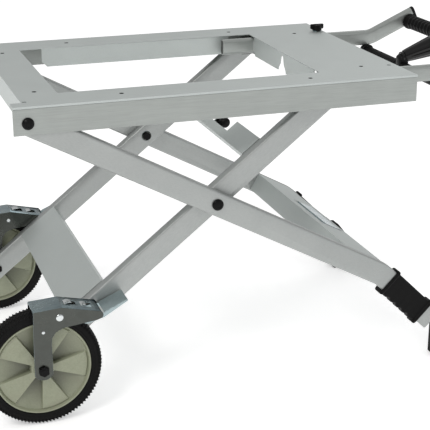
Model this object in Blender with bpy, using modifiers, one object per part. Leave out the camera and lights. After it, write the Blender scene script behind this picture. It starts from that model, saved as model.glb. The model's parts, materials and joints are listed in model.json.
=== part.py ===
"""Folding wheeled stand for a mitre saw: a sheet-metal top frame on a pair of scissor legs.

Local frame while building: x runs from the frame's hinge end to its handle end, y from the
front rail's outer face to the rear rail's, z up from the frame's top face.  The finished
stand is then moved as a whole so that it stands on z = 0, centred under its own box.
All sizes are metres.
"""
import math

import bmesh
import bpy
from mathutils import Matrix, Vector

# ---------------------------------------------------------------- driving sizes
TOP_LENGTH = 0.856            # top frame along x
TOP_WIDTH = 0.606             # top frame along y
TOP_HEIGHT = 0.670            # top face above the floor, legs up
RAIL_HEIGHT = 0.057
RAIL_WALL = 0.003
RAIL_WEB = 0.058              # how far the rail's web reaches in under the sheet
RAIL_SKIN = 0.0005            # rail face set back under the sheet's lip
RAIL_RELIEF_IN = 0.032        # web cut away round the hinge-end fold from here inwards
SHEET = 0.002                 # gauge of the folded sheet
TOP_LIP = 0.0045              # rolled edge of the sheet along both rails
FIT = 0.0003                  # gap between pieces that touch
RUN_GAP = 0.0015              # gap between pieces that move past each other

OPENING_X = (0.105, TOP_LENGTH - 0.187)       # opening in the top sheet
FLANGE_WIDTH = 0.088          # sheet left along each rail
LEFT_FOLD = 0.022             # hinge-end flange, set in from the rail ends
SIDE_FLANGE_X = (0.157, OPENING_X[1] - 0.054)
SIDE_FLANGE_DEPTH = 0.044
END_FLANGE_DEPTH = 0.046
CORNER_RELIEF = 0.008         # square reliefs where two folds meet
NOTCH_WIDTH = 0.048           # notch that the fold latch hooks
SAW_HOLE = 0.010              # holes that bolt the saw down
SAW_HOLES_X = (0.063, TOP_LENGTH - 0.079)
SAW_HOLES_IN = 0.112
SLOT_HOLES_X = (0.225, TOP_LENGTH - 0.226)
SLOT_HOLES_IN = 0.045

LEG_HEIGHT = 0.050            # leg tube in the plane that it swings in
LEG_WIDTH = 0.025
LEG_WALL = 0.002
LEG_CORNER = 0.004
LEG_PAST_PIN = 0.010          # tube beyond the pins inside the rails
HINGE_X = 0.0286              # outer legs' hinge in the rails
HINGE_DROP = SHEET + RAIL_WALL + 0.0037 + LEG_HEIGHT / 2    # leg swings clear under the rail's web
OUTER_SLOPE = math.radians(28.41)
HINGE_TO_PIVOT = 0.437
INNER_SLOPE = math.radians(38.35)
GRIP_BEND = math.radians(16.0)
GRIP_STRETCH = 0.137          # straight tube after the bend that carries the grip
FOOT_RISE = 0.123             # end of that stretch above the floor
FOOT_AHEAD = 0.032            # boot's near face beyond that end
FOLD_TRAVEL = math.radians(18.5)
PIN_RADIUS = 0.006

WHEEL_RADIUS = 0.125
RIM_RADIUS = WHEEL_RADIUS - 0.0236
WHEEL_SHARE = WHEEL_RADIUS / 0.125    # fork and brake outlines are drawn round a 125 mm wheel
TYRE_WIDTH = 0.040
FORK_WIDTH = 0.0604
FORK_GAUGE = 0.0025
FORK_TOP = 0.1345             # top plate above the axle, for a 125 mm wheel
FORK_WINDOWS = ((0.050, 0.076), (0.086, 0.108))
FORK_RIVET = (0.0370, 0.1130)
RIVET_RADIUS = 0.0040
PEDAL_EAR = 0.0020            # gauge of the brake lever's ears
PEDAL_GAP = 0.0004
WHEEL_IN = 0.0010             # wheel's mid-plane, inward from the rail's face
HANDLE_TUBE = (0.018, 0.038)  # flat oval tube, y by z
HANDLE_INNER_END = TOP_LENGTH - 0.263
HANDLE_BEND_X = TOP_LENGTH + 0.129
HANDLE_RISE = math.radians(24.0)
HANDLE_AFTER_BEND = 0.125
HANDLE_TOP = -0.005           # tubes hang this far under the top face
HANDLE_TUBE_IN = 0.095        # rail face to the tube's outer side
CROSSBAR_RADIUS = 0.008
CROSSBAR_BACK = 0.016         # from the tubes' ends, and below their middle line
CROSSBAR_DROP = 0.010
GRIP_RADIUS = 0.019
LEVER_SHAFT_RADIUS = 0.0105
LEVER_DROP = 0.0225           # shaft hangs this far under the lever grip's line
LEVER_LUG = 0.003             # ears under the tubes that carry the shaft
LEVER_LUG_SINK = 0.0015       # ears start this far inside the tube's wall
LEVER_LUG_RIM = 0.004
LEVER_LUG_CORNER = 0.006
LEVER_HUB_RIM = 0.002
LEVER_HUB_HALF = 0.014
LEVER_STUB_RUN = 0.045
GRIP_SHOULDER = 0.0135        # lever grip starts this far up the stub
LEVER_SLOPE = math.radians(16.0)
LEVER_STUB = 0.006
KNOB_X = TOP_LENGTH - 0.016   # clamp knob
KNOB_IN = HANDLE_TUBE_IN + HANDLE_TUBE[0] / 2
KNOB_RADIUS = 0.012
KNOB_BOTTOM = 0.0028
KNOB_TOP = 0.0165
KNOB_WING = 0.017             # wings reach this far from the stud
STUD_TOP = 0.012
WASHER_TOP = 0.0023
WASHER_RADIUS = 0.010
STUD_RADIUS = 0.004
ROLLER_RADIUS = 0.010
ROLLER_PLAY = 0.0025          # the slot's spare height: the opened pivot's clearance

SEGMENTS = 20

# ---------------------------------------------------------------- places worked out from them
OUTER_LEG_IN = 0.005
INNER_LEG_IN = OUTER_LEG_IN + LEG_WIDTH + RUN_GAP
INNER_LEG_FACE = INNER_LEG_IN + LEG_WIDTH
HINGE = Vector((HINGE_X, 0.0, -HINGE_DROP))
OUTER_DIR = Vector((math.cos(OUTER_SLOPE), 0.0, -math.sin(OUTER_SLOPE)))
PIVOT = HINGE + OUTER_DIR * HINGE_TO_PIVOT
INNER_DIR = Vector((math.cos(INNER_SLOPE), 0.0, math.sin(INNER_SLOPE)))
PIVOT_TO_AXLE = (PIVOT.z + TOP_HEIGHT - WHEEL_RADIUS) / math.sin(INNER_SLOPE)
AXLE = PIVOT - INNER_DIR * PIVOT_TO_AXLE
PIVOT_TO_SLIDER = (HINGE.z - PIVOT.z) / math.sin(INNER_SLOPE)
SLIDER = PIVOT + INNER_DIR * PIVOT_TO_SLIDER
FOLDED_OUTER = OUTER_SLOPE - FOLD_TRAVEL
FOLDED_INNER = math.asin(HINGE_TO_PIVOT * math.sin(FOLDED_OUTER) / PIVOT_TO_SLIDER)
SLIDER_FOLDED_X = (HINGE_X + HINGE_TO_PIVOT * math.cos(FOLDED_OUTER)
                   + PIVOT_TO_SLIDER * math.cos(FOLDED_INNER))
GRIP_SLOPE = OUTER_SLOPE + GRIP_BEND
BEND_Z = FOOT_RISE - TOP_HEIGHT + GRIP_STRETCH * math.sin(GRIP_SLOPE)
OUTER_LEG_AFTER_PIVOT = (PIVOT.z - BEND_Z) / math.sin(OUTER_SLOPE)
BEND = PIVOT + OUTER_DIR * OUTER_LEG_AFTER_PIVOT
GRIP_DIR = Vector((math.cos(GRIP_SLOPE), 0.0, -math.sin(GRIP_SLOPE)))
GRIP_END = BEND + GRIP_DIR * GRIP_STRETCH
FOOT_X = GRIP_END.x + FOOT_AHEAD
SLIDER_HEAD_IN = RAIL_WEB + 0.004 + FIT
FORK_OUT = WHEEL_IN - FORK_WIDTH / 2
FORK_INNER = WHEEL_IN + FORK_WIDTH / 2 - FIT
RIVET_AT = AXLE + Vector((FORK_RIVET[0], 0.0, FORK_RIVET[1])) * WHEEL_SHARE
HANDLE_MID_Z = HANDLE_TOP - HANDLE_TUBE[1] / 2
HANDLE_DIR = Vector((math.cos(HANDLE_RISE), 0.0, math.sin(HANDLE_RISE)))
HANDLE_UP = Vector((-math.sin(HANDLE_RISE), 0.0, math.cos(HANDLE_RISE)))
HANDLE_END = Vector((HANDLE_BEND_X, 0.0, HANDLE_MID_Z)) + HANDLE_DIR * HANDLE_AFTER_BEND
CROSSBAR = HANDLE_END - HANDLE_DIR * CROSSBAR_BACK - HANDLE_UP * CROSSBAR_DROP
LEVER_ROOT = Vector((HANDLE_BEND_X - 0.010, 0.0, HANDLE_MID_Z - 0.009))
LEVER = LEVER_ROOT - Vector((0.0, 0.0, LEVER_DROP))
LEVER_LUG_IN = HANDLE_TUBE_IN + HANDLE_TUBE[0] - LEVER_LUG_SINK
LEVER_DIR = Vector((math.cos(LEVER_SLOPE), 0.0, math.sin(LEVER_SLOPE)))

# runs are measured along a leg from the pivot, lifts across it
LOWER_PLATE_RUN = 0.335       # outer legs' wide plate, from here to the bend
RELEASE_WINDOW = (0.362, 0.420)
RELEASE_HALF = 0.090
RELEASE_PIN = (0.384, 0.012)
UPPER_RUN = (0.110, 0.160)    # inner legs' upper plate
LATCH_STEP = 0.130
LATCH_HALF = 0.108
LATCH_PIN = (0.128, 0.010)
SIDES = ("front", "rear")

STEEL = ("zinc_steel", (0.42, 0.43, 0.42), 0.35, 1.0)
PAINT = ("silver_paint", (0.46, 0.48, 0.47), 0.40, 0.6)
ALUMINIUM = ("anodised_aluminium", (0.45, 0.46, 0.45), 0.32, 1.0)
BLACK = ("black_plastic", (0.01, 0.01, 0.01), 0.40, 0.0)
RUBBER = ("black_rubber", (0.015, 0.015, 0.015), 0.70, 0.0)
RIM_PLASTIC = ("rim_plastic", (0.36, 0.37, 0.31), 0.45, 0.0)

parts = None
cutters = None


# ---------------------------------------------------------------- small helpers
def start_scene():
    global parts, cutters
    for obj in list(bpy.data.objects):
        bpy.data.objects.remove(obj, do_unlink=True)
    parts = bpy.data.collections.new("mitre_saw_stand")
    cutters = bpy.data.collections.new("cutters")
    bpy.context.scene.collection.children.link(parts)
    bpy.context.scene.collection.children.link(cutters)


def finish_named(finish):
    name, colour, roughness, metallic = finish
    material = bpy.data.materials.get(name)
    if material is None:
        material = bpy.data.materials.new(name)
        material.use_nodes = True
        shader = material.node_tree.nodes["Principled BSDF"]
        shader.inputs["Base Color"].default_value = (*colour, 1.0)
        shader.inputs["Roughness"].default_value = roughness
        shader.inputs["Metallic"].default_value = metallic
    return material


def depth(side, inward):
    """y of a point that lies `inward` from the outer face of that side's rail."""
    return inward if side == "front" else TOP_WIDTH - inward


def register(obj, name, finish):
    obj.name = name
    obj.data.name = name
    for owner in list(obj.users_collection):
        owner.objects.unlink(obj)
    (parts if finish else cutters).objects.link(obj)
    if finish:
        obj.data.materials.clear()
        obj.data.materials.append(finish_named(finish))
    else:
        obj.hide_render = True
        obj.display_type = "WIRE"
    return obj


def as_mesh(curve_object):
    """The curve's own solid as a plain mesh, its loose caps welded on."""
    graph = bpy.context.evaluated_depsgraph_get()
    graph.update()
    mesh = bpy.data.meshes.new_from_object(curve_object.evaluated_get(graph))
    shape = bmesh.new()
    shape.from_mesh(mesh)
    bmesh.ops.remove_doubles(shape, verts=shape.verts, dist=0.00001)
    bmesh.ops.recalc_face_normals(shape, faces=shape.faces)
    shape.to_mesh(mesh)
    shape.free()
    solid = bpy.data.objects.new("solid", mesh)
    solid.matrix_world = curve_object.matrix_world.copy()
    bpy.data.objects.remove(curve_object, do_unlink=True)
    parts.objects.link(solid)
    return solid


def box(name, low, high, finish=None, bevel=0.0):
    bpy.ops.mesh.primitive_cube_add(size=1.0)
    obj = bpy.context.active_object
    low = Vector(low)
    high = Vector(high)
    size = Vector(abs(high[i] - low[i]) for i in range(3))
    obj.data.transform(Matrix.Translation((low + high) / 2) @ Matrix.Diagonal((*size, 1.0)))
    if bevel:
        round_edges(obj, bevel)
    return register(obj, name, finish)


def round_edges(obj, width, segments=2, angle=30.0):
    mod = obj.modifiers.new("round_edges", "BEVEL")
    mod.width = width
    mod.segments = segments
    mod.limit_method = "ANGLE"
    mod.angle_limit = math.radians(angle)
    return mod


def rod(name, start, end, radius, finish=None, sides=SEGMENTS, end_radius=None):
    """A round bar from start to end; with end_radius it tapers."""
    start = Vector(start)
    end = Vector(end)
    shape = bmesh.new()
    tip = radius if end_radius is None else end_radius
    bmesh.ops.create_cone(shape, cap_ends=True, segments=sides, radius1=radius, radius2=tip,
                          depth=(end - start).length)
    mesh = bpy.data.meshes.new(name)
    shape.to_mesh(mesh)
    shape.free()
    turn = (end - start).to_track_quat("Z", "Y").to_matrix().to_4x4()
    mesh.transform(Matrix.Translation((start + end) / 2) @ turn)
    mesh.shade_smooth()
    mesh.set_sharp_from_angle(angle=math.radians(35))
    return register(bpy.data.objects.new(name, mesh), name, finish)


def outline_curve(loops):
    """A flat filled outline; the first loop is the edge and the others are holes."""
    curve = bpy.data.curves.new("outline", "CURVE")
    curve.dimensions = "2D"
    curve.fill_mode = "BOTH"
    for loop in loops:
        spline = curve.splines.new("POLY")
        spline.points.add(len(loop) - 1)
        for point, (u, v) in zip(spline.points, loop):
            point.co = (u, v, 0.0, 1.0)
        spline.use_cyclic_u = True
    obj = bpy.data.objects.new("outline", curve)
    bpy.context.scene.collection.objects.link(obj)
    return obj


def side_plate(name, loops, y0, y1, finish=None):
    """An outline drawn in x and z, given its thickness from y0 to y1."""
    obj = outline_curve(loops)
    obj.data.extrude = abs(y1 - y0) / 2
    obj.matrix_world = Matrix.Translation((0.0, (y0 + y1) / 2, 0.0)) @ Matrix.Rotation(math.pi / 2, 4, "X")
    return register(flatten(as_mesh(obj)), name, finish)


def flat_plate(name, loops, z0, z1, finish=None):
    """An outline drawn in x and y, given its thickness from z0 to z1."""
    obj = outline_curve(loops)
    obj.data.extrude = abs(z1 - z0) / 2
    obj.matrix_world = Matrix.Translation((0.0, 0.0, (z0 + z1) / 2))
    return register(flatten(as_mesh(obj)), name, finish)


def end_plate(name, loops, x0, x1, finish=None):
    """An outline drawn in y and z, given its thickness from x0 to x1."""
    obj = outline_curve(loops)
    obj.data.extrude = abs(x1 - x0) / 2
    turn = Matrix(((0, 0, 1, 0), (1, 0, 0, 0), (0, 1, 0, 0), (0, 0, 0, 1)))
    obj.matrix_world = Matrix.Translation(((x0 + x1) / 2, 0.0, 0.0)) @ turn
    return register(flatten(as_mesh(obj)), name, finish)


def flatten(obj):
    """Puts the object's place into its mesh."""
    obj.data.transform(obj.matrix_world)
    obj.matrix_world = Matrix.Identity(4)
    return obj


def sweep(name, path, size, corner, finish=None, corner_steps=2):
    """A tube of rounded-rectangle section, size = (across, up), along a path in the x-z plane."""
    across, up = size
    loop = rounded_rectangle(-across / 2, -up / 2, across / 2, up / 2, corner, corner_steps)
    profile = outline_curve([loop])
    profile.data.fill_mode = "NONE"
    curve = bpy.data.curves.new(name, "CURVE")
    curve.dimensions = "3D"
    curve.twist_mode = "Z_UP"
    curve.bevel_mode = "OBJECT"
    curve.bevel_object = profile
    curve.use_fill_caps = True
    spline = curve.splines.new("POLY")
    spline.points.add(len(path) - 1)
    for point, place in zip(spline.points, path):
        point.co = (*place, 1.0)
    obj = bpy.data.objects.new(name, curve)
    bpy.context.scene.collection.objects.link(obj)
    solid = as_mesh(obj)
    bpy.data.objects.remove(profile, do_unlink=True)
    solid.data.shade_smooth()
    solid.data.set_sharp_from_angle(angle=math.radians(40))
    return register(solid, name, finish)


def turned(name, profile, centre, finish=None, steps=40, closed=True, axis=(0.0, 1.0, 0.0)):
    """A profile of (radius, height) points turned about the line through centre along axis."""
    mesh = bpy.data.meshes.new(name)
    points = [(radius, 0.0, height) for radius, height in profile]
    edges = [(i, i + 1) for i in range(len(points) - 1)]
    if closed:
        edges.append((len(points) - 1, 0))
    mesh.from_pydata(points, edges, [])
    obj = bpy.data.objects.new(name, mesh)
    obj.matrix_world = Matrix.Translation(centre) @ Vector(axis).to_track_quat("Z",
                                                                               "Y").to_matrix().to_4x4()
    screw = obj.modifiers.new("turn", "SCREW")
    screw.steps = steps
    screw.render_steps = steps
    screw.use_merge_vertices = True
    screw.merge_threshold = 0.00001
    return register(obj, name, finish)


def boolean(obj, other, operation):
    mod = obj.modifiers.new(operation.lower(), "BOOLEAN")
    mod.operation = operation
    mod.solver = "EXACT"
    mod.object = other
    return obj


def cut(obj, *tools):
    for tool in tools:
        boolean(obj, tool, "DIFFERENCE")
    return obj


def fuse(obj, *others):
    for other in others:
        boolean(obj, other, "UNION")
    return obj


def circle(u, v, radius, points=16):
    turn = [2 * math.pi * i / points for i in range(points)]
    return [(u + radius * math.cos(a), v + radius * math.sin(a)) for a in turn]


def arc(u, v, radius, start, end, steps):
    """Points on an arc, angles in degrees."""
    angles = [math.radians(start + (end - start) * i / steps) for i in range(steps + 1)]
    return [(u + radius * math.cos(a), v + radius * math.sin(a)) for a in angles]


def rounded_rectangle(u0, v0, u1, v1, radius, steps=3):
    return (arc(u1 - radius, v0 + radius, radius, -90, 0, steps)
            + arc(u1 - radius, v1 - radius, radius, 0, 90, steps)
            + arc(u0 + radius, v1 - radius, radius, 90, 180, steps)
            + arc(u0 + radius, v0 + radius, radius, 180, 270, steps))


def along(origin, direction, run, lift, y):
    """A point `run` along a leg from origin and `lift` above its centre line."""
    normal = Vector((-direction.z, 0.0, direction.x))
    return origin + direction * run + normal * lift + Vector((0.0, y, 0.0))


def leg_box(name, origin, direction, run, lift, ys, finish=None, bevel=0.0):
    """A box laid square to a leg: run, lift and ys are (low, high) pairs."""
    obj = box(name, (run[0], ys[0], lift[0]), (run[1], ys[1], lift[1]), finish, bevel)
    slope = math.atan2(direction.z, direction.x)
    obj.data.transform(Matrix.Translation(origin) @ Matrix.Rotation(-slope, 4, "Y"))
    return obj


def cross_rod(name, centre, side, inward, radius, finish=None, sides=SEGMENTS):
    """A round bar along y at centre, between two depths from that side's rail."""
    ys = sorted(depth(side, value) for value in inward)
    return rod(name, (centre.x, ys[0], centre.z), (centre.x, ys[1], centre.z), radius, finish, sides)


def span(side, inward):
    return sorted(depth(side, value) for value in inward)


# ---------------------------------------------------------------- top frame
def top_plate():
    inner_y = (FLANGE_WIDTH, TOP_WIDTH - FLANGE_WIDTH)
    holes = [[(OPENING_X[0], inner_y[0]), (OPENING_X[1], inner_y[0]),
              (OPENING_X[1], inner_y[1]), (OPENING_X[0], inner_y[1])]]
    for side in SIDES:
        for x in SAW_HOLES_X:
            holes.append(circle(x, depth(side, SAW_HOLES_IN), SAW_HOLE / 2, 12))
        for x in SLOT_HOLES_X:
            holes.append(circle(x, depth(side, SLOT_HOLES_IN), SAW_HOLE / 2, 12))
        holes.append(circle(KNOB_X, depth(side, KNOB_IN), SAW_HOLE / 2, 12))
        relief = span(side, (RAIL_RELIEF_IN + RAIL_SKIN, RAIL_RELIEF_IN + RAIL_SKIN + CORNER_RELIEF))
        start = LEFT_FOLD + SHEET + RUN_GAP
        holes.append(rectangle(start, relief[0], start + CORNER_RELIEF, relief[1]))
    edge_in = RAIL_RELIEF_IN
    outer = [(0.0, 0.0), (TOP_LENGTH, 0.0), (TOP_LENGTH, TOP_WIDTH), (0.0, TOP_WIDTH),
             (0.0, TOP_WIDTH - edge_in), (LEFT_FOLD, TOP_WIDTH - edge_in), (LEFT_FOLD, edge_in),
             (0.0, edge_in)]
    plate = flat_plate("top_plate", [outer] + holes, -SHEET, 0.0, PAINT)
    for side in SIDES:
        lip = span(side, (0.0, SHEET))
        fuse(plate, box("lip_" + side, (FIT, lip[0], -TOP_LIP), (TOP_LENGTH - FIT, lip[1], -SHEET / 2)))
        fold = span(side, (FLANGE_WIDTH - SHEET - FIT, FLANGE_WIDTH - FIT))
        x0, x1 = SIDE_FLANGE_X
        chamfer = 0.012
        loop = [(x0, -SHEET / 2), (x0, chamfer - SIDE_FLANGE_DEPTH), (x0 + chamfer, -SIDE_FLANGE_DEPTH),
                (x1 - chamfer, -SIDE_FLANGE_DEPTH), (x1, chamfer - SIDE_FLANGE_DEPTH), (x1, -SHEET / 2)]
        fuse(plate, side_plate("side_flange_" + side, [loop], fold[0], fold[1]))
    y0, y1 = edge_in + 0.002, TOP_WIDTH - edge_in - 0.002
    fold_x = LEFT_FOLD + FIT
    fuse(plate, box("hinge_end_flange", (fold_x, y0, -END_FLANGE_DEPTH), (fold_x + SHEET, y1, -SHEET / 2)))
    fold_x = OPENING_X[1] + FIT
    fuse(plate, end_plate("latch_flange", [latch_flange_loop()], fold_x, fold_x + SHEET))
    return plate


def rectangle(u0, v0, u1, v1):
    return [(u0, v0), (u1, v0), (u1, v1), (u0, v1)]


def latch_flange_loop():
    """The handle-end flange with the keyhole notch that the fold latch hooks."""
    y0 = HANDLE_TUBE_IN + HANDLE_TUBE[0] + 0.006
    y1 = TOP_WIDTH - y0
    mid = TOP_WIDTH / 2
    half = NOTCH_WIDTH / 2
    low = -END_FLANGE_DEPTH
    neck = half * 0.45
    return [(y0, -SHEET / 2), (y0, low + 0.010), (y0 + 0.010, low), (mid - half, low),
            (mid - half + 0.003, low + 0.007), (mid - neck, low + 0.018), (mid - neck * 0.6, low + 0.034),
            (mid, low + 0.039), (mid + neck * 0.6, low + 0.034), (mid + neck, low + 0.018),
            (mid + half - 0.003, low + 0.007), (mid + half, low), (y1 - 0.010, low), (y1, low + 0.010),
            (y1, -SHEET / 2)]


def side_rail(side):
    """L-section rail: the outer wall and a web under the sheet; the legs swing inside it."""
    web_top = -SHEET - FIT
    wall_top = -TOP_LIP - FIT
    outline = [(RAIL_SKIN, -RAIL_HEIGHT), (RAIL_SKIN, wall_top), (SHEET + FIT, wall_top),
               (SHEET + FIT, web_top), (RAIL_WEB, web_top), (RAIL_WEB, web_top - RAIL_WALL),
               (RAIL_SKIN + RAIL_WALL, web_top - RAIL_WALL), (RAIL_SKIN + RAIL_WALL, -RAIL_HEIGHT)]
    loop = [(depth(side, u), v) for u, v in outline]
    rail = end_plate(side + "_rail", [loop], 0.0, TOP_LENGTH, ALUMINIUM)
    relief = span(side, (RAIL_RELIEF_IN - FIT, RAIL_WEB + 0.01))
    cut(rail, box("rail_relief_" + side, (-0.01, relief[0], -0.01),
                  (LEFT_FOLD + SHEET + CORNER_RELIEF, relief[1], 0.01)))
    cut(rail, cross_rod("rail_bore_" + side, HINGE, side, (-0.01, 0.02), PIN_RADIUS + FIT))
    for x in SLOT_HOLES_X:
        y = depth(side, SLOT_HOLES_IN)
        cut(rail, rod("rail_hole_%s_%d" % (side, x * 1000), (x, y, -0.02), (x, y, 0.02), SAW_HOLE / 2,
                      sides=12))
    return rail


def slide_track(side):
    """Hanging plate with the long slot that the inner legs' roller runs in."""
    x0 = SLIDER.x - ROLLER_RADIUS - 0.006
    x1 = SLIDER_FOLDED_X + ROLLER_RADIUS + 0.008
    half = ROLLER_RADIUS + ROLLER_PLAY
    z = SLIDER.z
    slot = arc(SLIDER.x - 0.004, z, half, 90, 270, 6)
    slot += arc(SLIDER_FOLDED_X + 0.005, z, half, -90, 90, 6)
    top = -SHEET - FIT
    low = z - half - 0.008
    outer = [(x0 - 0.012, top), (x0 - 0.012, low + 0.012), (x0, low), (x1, low), (x1 + 0.012, low + 0.012),
             (x1 + 0.012, top)]
    ys = span(side, (RAIL_WEB + FIT, RAIL_WEB + FIT + 0.003))
    track = side_plate(side + "_slide_track", [outer, slot], ys[0], ys[1], STEEL)
    ledge = span(side, (RAIL_WEB + FIT, RAIL_WEB + 0.016))
    fuse(track, box("track_ledge_" + side, (x0 - 0.012, ledge[0], top - 0.0025),
                    (x1 + 0.012, ledge[1], top)))
    return track


def handle_guide(side):
    """Rectangular sleeve under the sheet that the handle tube slides through."""
    wall = 0.0018
    play = 0.0005
    x0 = OPENING_X[1] + SHEET + 0.004
    x1 = TOP_LENGTH - 0.004
    top = -SHEET - FIT
    tube_top = HANDLE_TOP + play
    low = HANDLE_TOP - HANDLE_TUBE[1] - play
    ys = span(side, (HANDLE_TUBE_IN - play, HANDLE_TUBE_IN + HANDLE_TUBE[0] + play))
    outer = rectangle(ys[0] - wall, low - wall, ys[1] + wall, top)
    inner = rectangle(ys[0], low, ys[1], tube_top)
    guide = end_plate(side + "_handle_guide", [outer, inner], x0, x1, STEEL)
    y = depth(side, KNOB_IN)
    cut(guide, rod("guide_hole_" + side, (KNOB_X, y, HANDLE_TOP - 0.006), (KNOB_X, y, 0.01), SAW_HOLE / 2,
                   sides=12))
    return guide




def hinge_bolt(side):
    """Domed bolt that the outer leg swings on."""
    head_radius = 0.0120
    bolt = cross_rod(side + "_hinge_bolt", HINGE, side, (-0.0040, 0.0300), PIN_RADIUS, BLACK)
    profile = dome_profile(head_radius, 0.0062)
    centre = Vector((HINGE.x, depth(side, RAIL_SKIN - FIT), HINGE.z))
    return fuse(bolt, dome("hinge_head_" + side, centre, side, profile))


def dome_profile(radius, height, steps=4):
    """Outside of a low domed head, from the crown down to the rim and back to the centre."""
    points = []
    for i in range(steps + 1):
        angle = math.pi / 2 * i / steps
        points.append((radius * math.sin(angle), 0.35 * height + 0.65 * height * math.cos(angle)))
    return points + [(radius, 0.0), (0.0, 0.0)]


def dome(name, seat, side, profile, finish=None, steps=24):
    """A turned head that stands outwards from its seat on that side."""
    outwards = -1.0 if side == "front" else 1.0
    return turned(name, profile, seat, finish, steps, False, (0.0, outwards, 0.0))


# ---------------------------------------------------------------- handle
def handle_path():
    """Middle line of a tube: level under the sheet, then bent upwards."""
    radius = 0.060
    steps = 4
    reach = radius * math.tan(HANDLE_RISE / 2)
    start = HANDLE_BEND_X - reach
    points = [Vector((HANDLE_INNER_END, 0.0, HANDLE_MID_Z)), Vector((start, 0.0, HANDLE_MID_Z))]
    for i in range(1, steps + 1):
        turn = HANDLE_RISE * i / steps
        points.append(Vector((start + radius * math.sin(turn), 0.0,
                              HANDLE_MID_Z + radius * (1 - math.cos(turn)))))
    points.append(HANDLE_END)
    return points


def handle_tube(side):
    y = depth(side, KNOB_IN)
    placed = [point + Vector((0.0, y, 0.0)) for point in handle_path()]
    tube = sweep(side + "_handle_tube", placed, HANDLE_TUBE, HANDLE_TUBE[0] / 2 - 0.0002, ALUMINIUM, 3)
    bore_size = (HANDLE_TUBE[0] - 0.004, HANDLE_TUBE[1] - 0.004)
    first = placed[0] - Vector((0.01, 0.0, 0.0))
    last = placed[-1] + (placed[-1] - placed[-2]).normalized() * 0.01
    bore = sweep("tube_bore_" + side, [first] + placed[1:-1] + [last], bore_size, bore_size[0] / 2 - 0.0002,
                 None, 2)
    cut(tube, bore)
    cut(tube, cross_rod("crossbar_bore_" + side, CROSSBAR, side, (0.06, 0.15), CROSSBAR_RADIUS + FIT))
    half = LEVER_SHAFT_RADIUS + LEVER_LUG_RIM
    low = LEVER.z - half
    corner = LEVER_LUG_CORNER
    ys = span(side, (LEVER_LUG_IN, LEVER_LUG_IN + LEVER_LUG))
    ear = [(LEVER.x - half, HANDLE_MID_Z), (LEVER.x - half, low + corner), (LEVER.x - half + corner, low),
           (LEVER.x + half - corner, low), (LEVER.x + half, low + corner), (LEVER.x + half, HANDLE_MID_Z)]
    fuse(tube, side_plate("lever_ear_" + side, [ear], ys[0], ys[1]))
    cut(tube, cross_rod("lever_bore_" + side, LEVER, side, (0.06, 0.15), LEVER_SHAFT_RADIUS + FIT))
    return tube


def handle_cap(side):
    """Plastic plug closing the tube's outer end."""
    direction = HANDLE_DIR
    end = HANDLE_END + Vector((0.0, depth(side, KNOB_IN), 0.0))
    cap = sweep(side + "_handle_cap", [end + direction * FIT, end + direction * 0.008],
                HANDLE_TUBE, HANDLE_TUBE[0] / 2 - 0.0002, BLACK, 4)
    inset = 0.004 + 2 * FIT
    plug_size = (HANDLE_TUBE[0] - inset, HANDLE_TUBE[1] - inset)
    plug = sweep("cap_plug_" + side, [end - direction * 0.006, end + direction * 0.004], plug_size,
                 plug_size[0] / 2 - 0.0002, None, 2)
    return fuse(cap, plug)


def crossbar():
    half = HANDLE_TUBE_IN + 0.0045
    low = (CROSSBAR.x, half, CROSSBAR.z)
    high = (CROSSBAR.x, TOP_WIDTH - half, CROSSBAR.z)
    return rod("handle_crossbar", low, high, CROSSBAR_RADIUS, ALUMINIUM)


def handle_grip():
    """Moulded sleeve with finger ridges on its underside, over the crossbar."""
    y0 = HANDLE_TUBE_IN + HANDLE_TUBE[0] + 0.001
    y1 = TOP_WIDTH - y0
    centre = Vector((CROSSBAR.x, (y0 + y1) / 2, CROSSBAR.z))
    half = (y1 - y0) / 2
    bore = CROSSBAR_RADIUS + FIT
    waves = 7
    outer = []
    for i in range(2 * waves + 1):
        y = half - 2 * half * i / (2 * waves)
        ridge = 0.0012 if i % 2 else 0.0
        outer.append((GRIP_RADIUS - ridge, y))
    profile = [(bore, half)] + outer + [(bore, -half)]
    return turned("handle_grip", profile, centre, RUBBER, 20)


# ---------------------------------------------------------------- release lever between the handle tubes
def release_lever_shaft():
    shaft = rod("release_lever_shaft", (LEVER.x, LEVER_LUG_IN, LEVER.z),
                (LEVER.x, TOP_WIDTH - LEVER_LUG_IN, LEVER.z),
                LEVER_SHAFT_RADIUS, BLACK, 20)
    mid = TOP_WIDTH / 2
    hub = rod("lever_hub", (LEVER.x, mid - LEVER_HUB_HALF, LEVER.z), (LEVER.x, mid + LEVER_HUB_HALF, LEVER.z),
              LEVER_SHAFT_RADIUS + LEVER_HUB_RIM, sides=20)
    middle = Vector((0.0, mid, 0.0))
    root = LEVER_ROOT + middle
    neck = rod("lever_neck", LEVER + middle, root + Vector((0.0, 0.0, LEVER_STUB / 2)), LEVER_STUB,
               sides=16)
    stub = rod("lever_stub", root, root + LEVER_DIR * LEVER_STUB_RUN, LEVER_STUB, sides=16)
    return fuse(shaft, hub, neck, stub)


def release_lever_grip():
    """Tapered handle, thin at the hub and fat at its free end."""
    mid = Vector((0.0, TOP_WIDTH / 2, 0.0))
    start = LEVER_ROOT + LEVER_DIR * GRIP_SHOULDER + mid
    bore = LEVER_STUB + FIT
    bore_end = LEVER_STUB_RUN + FIT - GRIP_SHOULDER
    profile = [(0.0, 0.088), (0.0110, 0.0865), (0.0175, 0.0830), (0.0200, 0.0770), (0.0190, 0.0600),
               (0.0112, 0.0040),
               (0.0095, 0.0), (bore, 0.0), (bore, bore_end), (0.0, bore_end)]
    return turned("release_lever_grip", profile, start, BLACK, 24, False, LEVER_DIR)


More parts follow.
